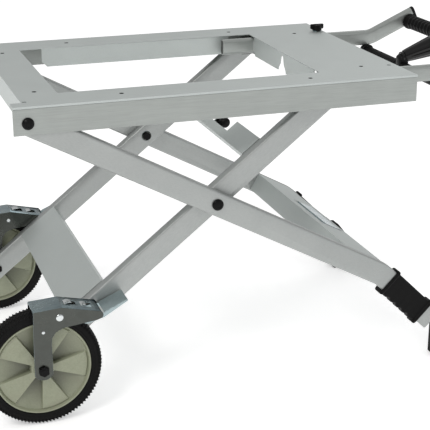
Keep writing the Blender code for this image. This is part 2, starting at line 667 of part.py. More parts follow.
# ---------------------------------------------------------------- clamp knob for the handle slide
def clamp_knob():
    y = depth("rear", KNOB_IN)
    stud = rod("clamp_stud", (KNOB_X, y, HANDLE_TOP + FIT), (KNOB_X, y, STUD_TOP), STUD_RADIUS, STEEL, 16)
    washer = rod("clamp_washer", (KNOB_X, y, FIT), (KNOB_X, y, WASHER_TOP), WASHER_RADIUS, STEEL, 24)
    cut(washer, rod("washer_bore", (KNOB_X, y, -0.01), (KNOB_X, y, 0.01), STUD_RADIUS + FIT, sides=16))
    knob = rod("clamp_knob", (KNOB_X, y, KNOB_BOTTOM), (KNOB_X, y, KNOB_TOP), KNOB_RADIUS, BLACK, 20,
               KNOB_RADIUS - 0.001)
    wing = box("knob_wings", (KNOB_X - KNOB_WING, y - 0.0035, 0.0060),
               (KNOB_X + KNOB_WING, y + 0.0035, KNOB_TOP + 0.0015), bevel=0.002)
    fuse(knob, wing)
    cut(knob, rod("knob_bore", (KNOB_X, y, 0.0), (KNOB_X, y, STUD_TOP + FIT), STUD_RADIUS + FIT, sides=16))
    return knob, stud, washer


# ---------------------------------------------------------------- outer legs
def hollow_leg(name, path, side, inward, pins):
    ys = span(side, (inward, inward + LEG_WIDTH))
    y = sum(ys) / 2
    placed = [point + Vector((0.0, y, 0.0)) for point in path]
    leg = sweep(name, placed, (LEG_WIDTH, LEG_HEIGHT), LEG_CORNER, PAINT)
    bore_size = (LEG_WIDTH - 2 * LEG_WALL, LEG_HEIGHT - 2 * LEG_WALL)
    first = placed[0] + (placed[0] - placed[1]).normalized() * 0.01
    last = placed[-1] + (placed[-1] - placed[-2]).normalized() * 0.01
    cut(leg, sweep(name + "_bore", [first] + placed[1:-1] + [last], bore_size, LEG_CORNER - LEG_WALL, None,
                   1))
    for index, pin in enumerate(pins):
        cut(leg, cross_rod("%s_pin_bore_%d" % (name, index), pin, side,
                           (inward - 0.01, inward + LEG_WIDTH + 0.01),
                           PIN_RADIUS + FIT, sides=24))
    return leg


def outer_leg_path():
    """From just past the hinge, through the pivot and round the bend, to the foot."""
    start = HINGE - OUTER_DIR * LEG_PAST_PIN
    radius = 0.080
    reach = radius * math.tan(GRIP_BEND / 2)
    points = [start]
    steps = 4
    for i in range(steps + 1):
        turn = GRIP_BEND * i / steps
        slope = OUTER_SLOPE + turn
        centre = BEND - OUTER_DIR * reach + Vector((-math.sin(OUTER_SLOPE), 0.0,
                                                    -math.cos(OUTER_SLOPE))) * radius
        points.append(centre + Vector((math.sin(slope), 0.0, math.cos(slope))) * radius)
    points.append(GRIP_END + GRIP_DIR * 0.045)
    return points


def outer_leg(side):
    return hollow_leg("outer_leg_" + side, outer_leg_path(), side, OUTER_LEG_IN, (HINGE, PIVOT))


def outer_plates():
    """Folded plates that tie the two outer legs together, flush with the legs' upper faces."""
    ys = (OUTER_LEG_IN + LEG_WIDTH + FIT, TOP_WIDTH - OUTER_LEG_IN - LEG_WIDTH - FIT)
    top = LEG_HEIGHT / 2
    low_run = (LOWER_PLATE_RUN, OUTER_LEG_AFTER_PIVOT - 0.008)
    lower = leg_box("outer_lower_plate", PIVOT, OUTER_DIR, low_run, (top - 0.003, top), ys, PAINT)
    flange = leg_box("outer_flange", PIVOT, OUTER_DIR, (low_run[0], low_run[0] + 0.003),
                     (-top + 0.004, top - 0.001), ys)
    fuse(lower, flange)
    mid = TOP_WIDTH / 2
    window = leg_box("release_window", PIVOT, OUTER_DIR, RELEASE_WINDOW, (top - 0.02, top + 0.01),
                     (mid - RELEASE_HALF, mid + RELEASE_HALF))
    cut(lower, window)
    up_run = (-0.385, -0.335)
    upper = leg_box("outer_upper_plate", PIVOT, OUTER_DIR, up_run, (-top, -top + 0.003), ys, PAINT)
    rib = leg_box("outer_upper_flange", PIVOT, OUTER_DIR, (up_run[1] - 0.003, up_run[1]),
                  (-top + 0.001, top - 0.016), ys)
    fuse(upper, rib)
    return lower, upper




def leg_grip(side):
    """Rubber sleeve with four finger waves underneath and a collar at each end."""
    y = sum(span(side, (OUTER_LEG_IN, OUTER_LEG_IN + LEG_WIDTH))) / 2
    run0, run1 = 0.024, 0.150
    wall = 0.0045
    half_h = LEG_HEIGHT / 2
    loop = [(run0, half_h + wall)]
    waves = 4
    steps = 5
    length = run1 - run0
    for i in range(waves * steps + 1):
        share = i / (waves * steps)
        wave = 0.0035 * abs(math.sin(math.pi * waves * share))
        loop.append((run0 + 0.010 + (length - 0.020) * share, -half_h - wall - wave))
    outline = [(run0, -half_h - wall - 0.004)] + [(run0 + 0.008, -half_h - wall - 0.004)] + loop[1:]
    outline += [(run1 - 0.008, -half_h - wall - 0.005), (run1, -half_h - wall - 0.005),
                (run1, half_h + wall + 0.002),
                (run1 - 0.008, half_h + wall + 0.002), (run1 - 0.010, half_h + wall),
                (run0 + 0.010, half_h + wall), (run0 + 0.008, half_h + wall + 0.002),
                (run0, half_h + wall + 0.002)]
    loop3 = [to_world(BEND, GRIP_DIR, u, v) for u, v in outline]
    thick = LEG_WIDTH / 2 + wall
    grip = side_plate("leg_grip_" + side, [loop3], y - thick, y + thick, RUBBER)
    bore_path = [BEND - GRIP_DIR * 0.01, GRIP_END + GRIP_DIR * 0.05]
    placed = [point + Vector((0.0, y, 0.0)) for point in bore_path]
    bore = sweep("grip_bore_" + side, placed, (LEG_WIDTH + 2 * FIT, LEG_HEIGHT + 2 * FIT), LEG_CORNER, None)
    return cut(grip, bore)


def to_world(origin, direction, run, lift):
    """(x, z) of a point given along and above a leg's centre line."""
    place = along(origin, direction, run, lift, 0.0)
    return (place.x, place.z)


def foot(side):
    """Moulded boot on the end of the outer leg, flat on the floor."""
    floor = -TOP_HEIGHT
    x0 = FOOT_X
    x1 = FOOT_X + 0.072
    top = GRIP_END.z + 0.012
    ys = span(side, (OUTER_LEG_IN - 0.006, OUTER_LEG_IN + LEG_WIDTH + 0.006))
    outline = [(x0, floor), (x1 - 0.006, floor), (x1, floor + 0.006), (x1, floor + 0.055),
               (x1 - 0.012, floor + 0.075), (x0 + 0.018, top), (x0, top)]
    boot = side_plate("foot_" + side, [outline], ys[0], ys[1], RUBBER)
    y = sum(ys) / 2
    placed = [GRIP_END - GRIP_DIR * 0.10 + Vector((0.0, y, 0.0)),
              GRIP_END + GRIP_DIR * (0.045 + FIT) + Vector((0.0, y, 0.0))]
    bore = sweep("foot_bore_" + side, placed, (LEG_WIDTH + 2 * FIT, LEG_HEIGHT + 2 * FIT), LEG_CORNER, None)
    return cut(boot, bore)




def pivot_bolt(side):
    """Bolt through both legs at the scissor pivot, with a domed cap outside."""
    bolt = cross_rod(side + "_pivot_bolt", PIVOT, side, (OUTER_LEG_IN - 0.003, INNER_LEG_FACE + 0.004),
                     PIN_RADIUS,
                     BLACK)
    seat = Vector((PIVOT.x, depth(side, OUTER_LEG_IN - FIT), PIVOT.z))
    fuse(bolt, dome("pivot_head_" + side, seat, side, dome_profile(0.0110, 0.0060)))
    nut = cross_rod("pivot_nut_" + side, PIVOT, side, (INNER_LEG_FACE + 0.0010, INNER_LEG_FACE + 0.0070),
                    0.0100,
                    None, 6)
    return fuse(bolt, nut)


def release_pedal():
    """Rocking bar in the window of the lower plate, with its pin."""
    top = LEG_HEIGHT / 2
    mid = TOP_WIDTH / 2
    run = RELEASE_WINDOW
    ys = (mid - RELEASE_HALF + 0.004, mid + RELEASE_HALF - 0.004)
    bar = leg_box("release_pedal", PIVOT, OUTER_DIR, (run[0] + 0.012, run[1] - 0.004),
                  (top - 0.0025, top + 0.0005), ys,
                  STEEL, 0.0008)
    lug = leg_box("pedal_lip", PIVOT, OUTER_DIR, (run[1] - 0.0065, run[1] - 0.004), (top - 0.016, top), ys)
    fuse(bar, lug)
    for sign in (-1, 1):
        y = mid + sign * 0.055
        ear = leg_box("pedal_ear_%d" % sign, PIVOT, OUTER_DIR, (run[0] + 0.012, run[0] + 0.034),
                      (top - 0.022, top - 0.001), (y - 0.0015, y + 0.0015))
        fuse(bar, ear)
    pin_at = along(PIVOT, OUTER_DIR, RELEASE_PIN[0], RELEASE_PIN[1], 0.0)
    cut(bar, rod("pedal_pin_bore", (pin_at.x, mid - 0.08, pin_at.z), (pin_at.x, mid + 0.08, pin_at.z),
                 0.0035,
                 sides=16))
    return bar




def release_bracket():
    """Two hanging tabs under the plate and the pin between them that carries the pedal."""
    top = LEG_HEIGHT / 2
    mid = TOP_WIDTH / 2
    pin_at = along(PIVOT, OUTER_DIR, RELEASE_PIN[0], RELEASE_PIN[1], 0.0)
    reach = RELEASE_HALF + 0.004
    pin = rod("release_pin", (pin_at.x, mid - reach, pin_at.z), (pin_at.x, mid + reach, pin_at.z), 0.0030,
              STEEL, 16)
    for sign in (-1, 1):
        y = mid + sign * (RELEASE_HALF + 0.006)
        tab = leg_box("release_tab_%d" % sign, PIVOT, OUTER_DIR, (0.374, 0.394), (0.003, top - 0.003 - FIT),
                      (y - 0.0015, y + 0.0015))
        inner_end = mid + sign * (RELEASE_HALF - 0.001)
        stub = rod("release_stub_%d" % sign, (pin_at.x, inner_end, pin_at.z), (pin_at.x, y, pin_at.z),
                   0.0030,
                   sides=16)
        fuse(pin, stub, tab)
    return pin


# ---------------------------------------------------------------- inner legs
def inner_leg(side):
    path = [AXLE - INNER_DIR * 0.020, SLIDER + INNER_DIR * LEG_PAST_PIN]
    return hollow_leg("inner_leg_" + side, path, side, INNER_LEG_IN, (AXLE, PIVOT, SLIDER))


def inner_plates():
    ys = (INNER_LEG_FACE + FIT, TOP_WIDTH - INNER_LEG_FACE - FIT)
    top = LEG_HEIGHT / 2
    low_run = (-0.390, -0.285)
    lower = leg_box("inner_lower_plate", PIVOT, INNER_DIR, low_run, (top - 0.003, top), ys, PAINT)
    fuse(lower, leg_box("inner_lower_flange", PIVOT, INNER_DIR, (low_run[1] - 0.003, low_run[1]),
                        (-0.002, top - 0.001), ys))
    fuse(lower, leg_box("inner_lower_hem", PIVOT, INNER_DIR, (low_run[0], low_run[0] + 0.003),
                        (top - 0.015, top - 0.001), ys))
    run = UPPER_RUN
    upper = leg_box("inner_upper_plate", PIVOT, INNER_DIR, run, (top - 0.003, top), ys, PAINT)
    fuse(upper, leg_box("inner_upper_hem", PIVOT, INNER_DIR, (run[0], run[0] + 0.003),
                        (top - 0.030, top - 0.001), ys))
    mid = TOP_WIDTH / 2
    cutout = leg_box("latch_cutout", PIVOT, INNER_DIR, (LATCH_STEP, run[1] + 0.01),
                     (top - 0.01, top + 0.01),
                     (mid - LATCH_HALF, mid + LATCH_HALF))
    cut(upper, cutout)
    return lower, upper




def latch_bracket():
    """Channel under the upper plate that carries the latch's pin."""
    mid = TOP_WIDTH / 2
    under = LEG_HEIGHT / 2 - 0.003 - FIT
    run = (0.1135, 0.1320)
    base = leg_box("latch_bracket", PIVOT, INNER_DIR, (run[0], LATCH_STEP - 0.0015), (under - 0.002, under),
                   (mid - 0.020, mid + 0.020), STEEL)
    for sign in (-1, 1):
        y = mid + sign * 0.0165
        cheek = leg_box("latch_cheek_%d" % sign, PIVOT, INNER_DIR, run, (0.0055, under - 0.0005),
                        (y - 0.001, y + 0.001))
        fuse(base, cheek)
    pin_at = along(PIVOT, INNER_DIR, LATCH_PIN[0], LATCH_PIN[1], 0.0)
    pin = rod("latch_pin", (pin_at.x, mid - 0.019, pin_at.z), (pin_at.x, mid + 0.019, pin_at.z), 0.0025,
              sides=12)
    return fuse(base, pin)


def latch_hook():
    """Hook blade on the latch's pin, reaching up for the notch in the frame's flange."""
    mid = TOP_WIDTH / 2
    outline = [(0.120, 0.004), (0.136, -0.006), (0.152, -0.004), (0.163, 0.008), (0.172, 0.022),
               (0.172, 0.032),
               (0.163, 0.032), (0.160, 0.024), (0.150, 0.012), (0.138, 0.016), (0.124, 0.017)]
    loop = [to_world(PIVOT, INNER_DIR, u, v) for u, v in outline]
    bore_at = to_world(PIVOT, INNER_DIR, *LATCH_PIN)
    hook = side_plate("latch_hook", [loop, circle(bore_at[0], bore_at[1], 0.0029, 12)], mid - 0.002,
                      mid + 0.002,
                      STEEL)
    return hook


def latch_knob():
    """Rubber-capped thumb knob on the side of the hook."""
    mid = TOP_WIDTH / 2
    at = along(PIVOT, INNER_DIR, 0.1455, 0.0030, 0.0)
    seat = Vector((at.x, mid - 0.002 - FIT, at.z))
    profile = [(0.0, 0.024), (0.0085, 0.0225), (0.0120, 0.018), (0.0125, 0.008), (0.0080, 0.004),
               (0.0060, 0.0),
               (0.0, 0.0)]
    return dome("latch_knob", seat, "front", profile, BLACK, 24)


def latch_spring():
    """Return spring round the latch's pin, drawn as a short coil."""
    mid = TOP_WIDTH / 2
    pin_at = along(PIVOT, INNER_DIR, LATCH_PIN[0], LATCH_PIN[1], 0.0)
    turns = 3
    per_turn = 8
    length = 0.0105
    radius = 0.0050
    curve = bpy.data.curves.new("latch_spring", "CURVE")
    curve.dimensions = "3D"
    curve.bevel_depth = 0.0009
    curve.bevel_resolution = 2
    curve.use_fill_caps = True
    spline = curve.splines.new("POLY")
    count = turns * per_turn
    spline.points.add(count)
    for i, point in enumerate(spline.points):
        angle = 2 * math.pi * i / per_turn
        y = mid + 0.0040 + length * i / count
        point.co = (pin_at.x + radius * math.cos(angle), y, pin_at.z + radius * math.sin(angle), 1.0)
    obj = bpy.data.objects.new("latch_spring", curve)
    bpy.context.scene.collection.objects.link(obj)
    return register(as_mesh(obj), "latch_spring", STEEL)


def slider_pin(side):
    """Bolt at the inner leg's upper end that carries the roller in the track."""
    pin = cross_rod("slider_pin_" + side, SLIDER, side, (INNER_LEG_IN - 0.001, SLIDER_HEAD_IN + 0.001),
                    PIN_RADIUS,
                    STEEL, 20)
    head = cross_rod("slider_head_" + side, SLIDER, side, (SLIDER_HEAD_IN, SLIDER_HEAD_IN + 0.004), 0.0130,
                     None, 24)
    return fuse(pin, head)




def slider_roller(side):
    """Nylon roller that runs in the track's slot."""
    y0 = INNER_LEG_FACE + 0.0006
    y1 = SLIDER_HEAD_IN - FIT
    ys = span(side, (y0, y1))
    half = (ys[1] - ys[0]) / 2
    bore = PIN_RADIUS + FIT
    centre = Vector((SLIDER.x, (ys[0] + ys[1]) / 2, SLIDER.z))
    profile = [(bore, half), (ROLLER_RADIUS, half), (ROLLER_RADIUS, -half), (bore, -half)]
    return turned("slider_roller_" + side, profile, centre, BLACK, 24)


# ---------------------------------------------------------------- wheels
def round_axle(outline):
    """Side outline drawn round the axle of a 125 mm wheel, for this wheel."""
    return [(AXLE.x + u * WHEEL_SHARE, AXLE.z + v * WHEEL_SHARE) for u, v in outline]


def fork_outline():
    """Cheek of the fork round the axle: an upright arm and a tapering upper arm."""
    arm = 0.0185
    loop = arc(0.0, 0.0, 0.0215, 180 + 28, 360 - 28, 6)
    loop += [(arm, 0.055), (0.0200, 0.070), (0.0280, 0.082), (0.0450, 0.0895), (0.1130, 0.0965)]
    loop += arc(0.1180, 0.1070, 0.0095, -40, 60, 3)
    loop += [(0.0430, FORK_TOP), (-0.0165, FORK_TOP - 0.0035), (-arm, 0.050)]
    return round_axle(loop)


def fork(side):
    """Zinc-plated wheel fork: two cheeks and the plate over the tyre that joins them."""
    outer = span(side, (FORK_OUT, FORK_OUT + FORK_GAUGE))
    inner = span(side, (FORK_INNER - FORK_GAUGE, FORK_INNER))
    body = side_plate("fork_" + side, [fork_outline()], outer[0], outer[1], STEEL)
    fuse(body, side_plate("fork_inner_cheek_" + side, [fork_outline()], inner[0], inner[1]))
    top = [(-0.0165, FORK_TOP - 0.0035), (0.0430, FORK_TOP), (0.1225, 0.1155)]
    drop = FORK_GAUGE
    loop = round_axle(top + [(u, v - drop) for u, v in reversed(top)])
    across = span(side, (FORK_OUT + 0.0005, FORK_INNER - 0.0005))
    fuse(body, side_plate("fork_top_" + side, [loop], across[0], across[1]))
    mid = depth(side, WHEEL_IN)
    half = 0.011
    for start, end in FORK_WINDOWS:
        low, high = round_axle([(start, 0.100), (end, 0.150)])
        cut(body, box("fork_window_%s_%d" % (side, start * 1000), (low[0], mid - half, low[1]),
                      (high[0], mid + half, high[1])))
    cut(body, cross_rod("fork_bore_" + side, AXLE, side, (-0.06, 0.06), PIN_RADIUS + FIT))
    cut(body, cross_rod("fork_rivet_bore_" + side, RIVET_AT, side, (-0.06, 0.06), RIVET_RADIUS + FIT,
                        sides=16))
    return body


def brake_rivets(side):
    """The two stub rivets that the brake lever hangs on, one in each cheek."""
    found = []
    for place, (inward_from, inward_to, head_from, head_to) in (
            ("outer", (FORK_OUT - 0.0010, FORK_OUT + FORK_GAUGE + 0.0028, FORK_OUT - 0.0022,
                       FORK_OUT - FIT)),
            ("inner", (FORK_INNER - FORK_GAUGE - 0.0028, FORK_INNER - FIT, None, None))):
        name = "brake_rivet_%s_%s" % (side, place)
        rivet = cross_rod(name, RIVET_AT, side, (inward_from, inward_to), RIVET_RADIUS, STEEL, 16)
        if head_from is not None:
            fuse(rivet, cross_rod("rivet_head_" + side, RIVET_AT, side, (head_from, head_to), 0.0075, None,
                                  20))
        found.append(rivet)
    return found


def brake_pedal(side):
    """Brake lever: ears inside the fork, a shoe over the tyre and the foot pedal beyond the fork."""
    inset = FORK_GAUGE + PEDAL_GAP
    ears = ((FORK_OUT + inset, FORK_OUT + inset + PEDAL_EAR),
            (FORK_INNER - inset - PEDAL_EAR, FORK_INNER - inset))
    outline = [(0.0290, 0.1060), (0.0290, 0.1200), (0.0450, 0.1215), (0.1050, 0.1080), (0.1290, 0.1100),
               (0.1790, 0.1315), (0.1790, 0.1290), (0.1300, 0.1000), (0.1050, 0.0930), (0.0950, 0.0900),
               (0.0500, 0.1030)]
    loop = round_axle(outline)
    outer = span(side, ears[0])
    pedal = side_plate("brake_pedal_" + side, [loop], outer[0], outer[1], STEEL)
    inner = span(side, ears[1])
    fuse(pedal, side_plate("pedal_ear_" + side, [loop], inner[0], inner[1]))
    web = [(0.1290, 0.1115), (0.1790, 0.1330), (0.1802, 0.1304), (0.1302, 0.1089)]
    loop = round_axle(web)
    across = span(side, (ears[0][0] + FIT, ears[1][1] - FIT))
    fuse(pedal, side_plate("pedal_plate_" + side, [loop], across[0], across[1]))
    return cut(pedal, cross_rod("pedal_bore_" + side, RIVET_AT, side, (-0.06, 0.06), RIVET_RADIUS + FIT,
                                sides=16))


def brake_shoe(side):
    """Bar between the lever's ears that is pressed onto the tyre."""
    inset = FORK_GAUGE + PEDAL_GAP + PEDAL_EAR + FIT
    ys = span(side, (FORK_OUT + inset, FORK_INNER - inset))
    outline = [(0.0905, 0.0970), (0.1010, 0.0900), (0.1065, 0.0970), (0.0965, 0.1045)]
    return side_plate("brake_shoe_" + side, [round_axle(outline)], ys[0], ys[1], RUBBER)


def wheel_axle(side):
    """Axle bolt through fork, wheel and leg, with its nuts."""
    out = FORK_OUT - FIT
    axle = cross_rod("wheel_axle_" + side, AXLE, side, (out - 0.0075, INNER_LEG_FACE + 0.006), PIN_RADIUS,
                     BLACK)
    nut = cross_rod("axle_nut_" + side, AXLE, side, (out - 0.0065, out), 0.0110, None, 6)
    head = cross_rod("axle_head_" + side, AXLE, side, (INNER_LEG_FACE + FIT, INNER_LEG_FACE + 0.0045),
                     0.0105, None, 6)
    return fuse(axle, nut, head)


def tyre(side):
    half = TYRE_WIDTH / 2
    inner = RIM_RADIUS + FIT
    crown = WHEEL_RADIUS
    shoulder = crown - 0.0075
    profile = [(inner, half * 0.86), (shoulder - 0.004, half), (shoulder + 0.002, half * 0.90),
               (crown, half * 0.35),
               (crown, -half * 0.35), (shoulder + 0.002, -half * 0.90), (shoulder - 0.004, -half),
               (inner, -half * 0.86)]
    centre = Vector((AXLE.x, depth(side, WHEEL_IN), AXLE.z))
    return turned("tyre_" + side, profile, centre, RUBBER, 48)


def rim(side):
    """Moulded rim: bored hub, web and outer band."""
    band = TYRE_WIDTH / 2 * 0.92
    hub = FORK_WIDTH / 2 - FORK_GAUGE - 0.0012
    web = 0.003
    bore = PIN_RADIUS + FIT
    profile = [(bore, hub), (0.019, hub), (0.022, web), (RIM_RADIUS - 0.009, web),
               (RIM_RADIUS - 0.007, band),
               (RIM_RADIUS, band), (RIM_RADIUS, -band), (RIM_RADIUS - 0.007, -band),
               (RIM_RADIUS - 0.009, -web),
               (0.022, -web), (0.019, -hub), (bore, -hub)]
    centre = Vector((AXLE.x, depth(side, WHEEL_IN), AXLE.z))
    return turned("rim_" + side, profile, centre, RIM_PLASTIC, 40)


# ---------------------------------------------------------------- assembly
def body(name, anchor, pieces, parent=None):
    """Hangs pieces from an empty that stands on the body's joint axis."""
    empty = bpy.data.objects.new("axis_" + name, None)
    empty.empty_display_size = 0.05
    empty.location = anchor
    bpy.context.scene.collection.objects.link(empty)
    bpy.context.view_layer.update()
    if parent is not None:
        empty.parent = parent
        empty.matrix_parent_inverse = parent.matrix_world.inverted()
    for piece in pieces:
        piece.parent = empty
        piece.matrix_parent_inverse = empty.matrix_world.inverted()
    bpy.context.view_layer.update()
    return empty


def build():
    start_scene()
    mid = Vector((0.0, TOP_WIDTH / 2, 0.0))
    frame = body("top_frame", (0.0, 0.0, 0.0), [top_plate()] + [make(side) for side in SIDES for make in (
        side_rail, slide_track, handle_guide, hinge_bolt)])
    handle = body("handle", (HANDLE_BEND_X, mid.y, HANDLE_TOP), [crossbar(), handle_grip()] + [
        make(side) for side in SIDES for make in (handle_tube, handle_cap)], frame)
    body("release_lever", LEVER + mid, [release_lever_shaft(), release_lever_grip()], handle)
    knob_y = depth("rear", KNOB_IN)
    body("clamp_knob", (KNOB_X, knob_y, 0.0), clamp_knob(), frame)
    outer = body("outer_legs", HINGE + mid, list(outer_plates()) + [release_bracket()] + [
        make(side) for side in SIDES for make in (outer_leg, leg_grip, foot, pivot_bolt)], frame)
    pin_at = along(PIVOT, OUTER_DIR, RELEASE_PIN[0], RELEASE_PIN[1], mid.y)
    body("release_pedal", pin_at, [release_pedal()], outer)
    inner_pieces = list(inner_plates()) + [latch_bracket()]
    for side in SIDES:
        inner_pieces += [inner_leg(side), slider_pin(side), fork(side),
                         wheel_axle(side)] + brake_rivets(side)
    inner = body("inner_legs", PIVOT + mid, inner_pieces, outer)
    latch_at = along(PIVOT, INNER_DIR, LATCH_PIN[0], LATCH_PIN[1], mid.y)
    body("latch", latch_at, [latch_hook(), latch_knob(), latch_spring()], inner)
    for side in SIDES:
        wheel_y = Vector((0.0, depth(side, WHEEL_IN), 0.0))
        body("wheel_" + side, AXLE + wheel_y, [tyre(side), rim(side)], inner)
        body("brake_" + side, RIVET_AT + wheel_y, [brake_pedal(side), brake_shoe(side)], inner)
        roller_y = Vector((0.0, depth(side, INNER_LEG_FACE), 0.0))
        body("roller_" + side, SLIDER + roller_y, [slider_roller(side)], inner)
    stand_on_floor(frame)


def stand_on_floor(frame):
    """Moves the whole stand so that it stands on z = 0 with its box centred on the origin."""
    graph = bpy.context.evaluated_depsgraph_get()
    graph.update()
    corners = []
    for obj in parts.objects:
        found = obj.evaluated_get(graph)
        corners += [found.matrix_world @ Vector(corner) for corner in found.bound_box]
    low = Vector(min(c[i] for c in corners) for i in range(3))
    high = Vector(max(c[i] for c in corners) for i in range(3))
    for tool in cutters.objects:
        tool.parent = frame
        tool.matrix_parent_inverse = frame.matrix_world.inverted()
    frame.location -= Vector(((low.x + high.x) / 2, (low.y + high.y) / 2, low.z))
    bpy.context.view_layer.update()


build()
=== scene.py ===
"""Looks of the folding saw stand: sheet-metal top, scissor legs, braked wheels, sliding handle."""
import json
import math

import bmesh
import bpy
from mathutils import Matrix, Vector

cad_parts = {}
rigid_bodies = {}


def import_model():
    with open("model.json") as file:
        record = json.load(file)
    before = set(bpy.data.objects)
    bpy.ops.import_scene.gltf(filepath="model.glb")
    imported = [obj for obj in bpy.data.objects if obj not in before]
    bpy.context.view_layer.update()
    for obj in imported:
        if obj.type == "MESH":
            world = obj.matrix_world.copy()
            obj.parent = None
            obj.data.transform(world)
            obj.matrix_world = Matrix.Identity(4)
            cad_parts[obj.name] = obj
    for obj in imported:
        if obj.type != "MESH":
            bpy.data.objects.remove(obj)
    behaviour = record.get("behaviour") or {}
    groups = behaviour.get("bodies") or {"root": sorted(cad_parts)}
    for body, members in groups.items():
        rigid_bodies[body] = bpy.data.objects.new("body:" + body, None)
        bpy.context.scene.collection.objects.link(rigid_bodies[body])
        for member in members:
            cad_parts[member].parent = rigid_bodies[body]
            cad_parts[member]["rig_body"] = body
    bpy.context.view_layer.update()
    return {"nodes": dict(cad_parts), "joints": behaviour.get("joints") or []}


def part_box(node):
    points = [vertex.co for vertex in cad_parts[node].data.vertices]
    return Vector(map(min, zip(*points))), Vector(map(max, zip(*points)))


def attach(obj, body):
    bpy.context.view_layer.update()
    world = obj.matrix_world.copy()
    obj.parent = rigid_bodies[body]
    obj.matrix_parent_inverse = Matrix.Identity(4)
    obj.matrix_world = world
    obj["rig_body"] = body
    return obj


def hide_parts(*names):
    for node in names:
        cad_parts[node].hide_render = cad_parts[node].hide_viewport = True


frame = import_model()
nodes = frame["nodes"]
SIDES = ("front", "rear")
MM = 0.001
AHEAD, ACROSS, UP = Vector((1, 0, 0)), Vector((0, 1, 0)), Vector((0, 0, 1))
OUTWARD = {"front": -ACROSS, "rear": ACROSS}


# ---------------------------------------------------------------- colour and node helpers
def linear(code):
    """sRGB hex, such as "A0A4A1", to linear red, green, blue, alpha."""
    channels = [int(code[i:i + 2], 16) / 255 for i in (0, 2, 4)]
    return [c / 12.92 if c <= 0.04045 else ((c + 0.055) / 1.055) ** 2.4 for c in channels] + [1.0]


def add_node(tree, kind, inputs=None, **settings):
    """Adds a node with its settings; an input is a value or another node's output."""
    node = tree.nodes.new(kind)
    for key, value in settings.items():
        setattr(node, key, value)
    for socket, value in (inputs or {}).items():
        if isinstance(value, bpy.types.NodeSocket):
            tree.links.new(value, node.inputs[socket])
        else:
            node.inputs[socket].default_value = value
    return node


def start_material(name, **shader_values):
    material = bpy.data.materials.new(name)
    material.use_nodes = True
    tree = material.node_tree
    shader = tree.nodes["Principled BSDF"]
    for key, value in shader_values.items():
        shader.inputs[key.replace("_", " ")].default_value = value
    return material, tree, shader


# Nearly all of the noises' values lie between these; the bump of every finish is this high.
NOISE_LOW, NOISE_HIGH = 0.3, 0.7
RELIEF = 0.05 * MM


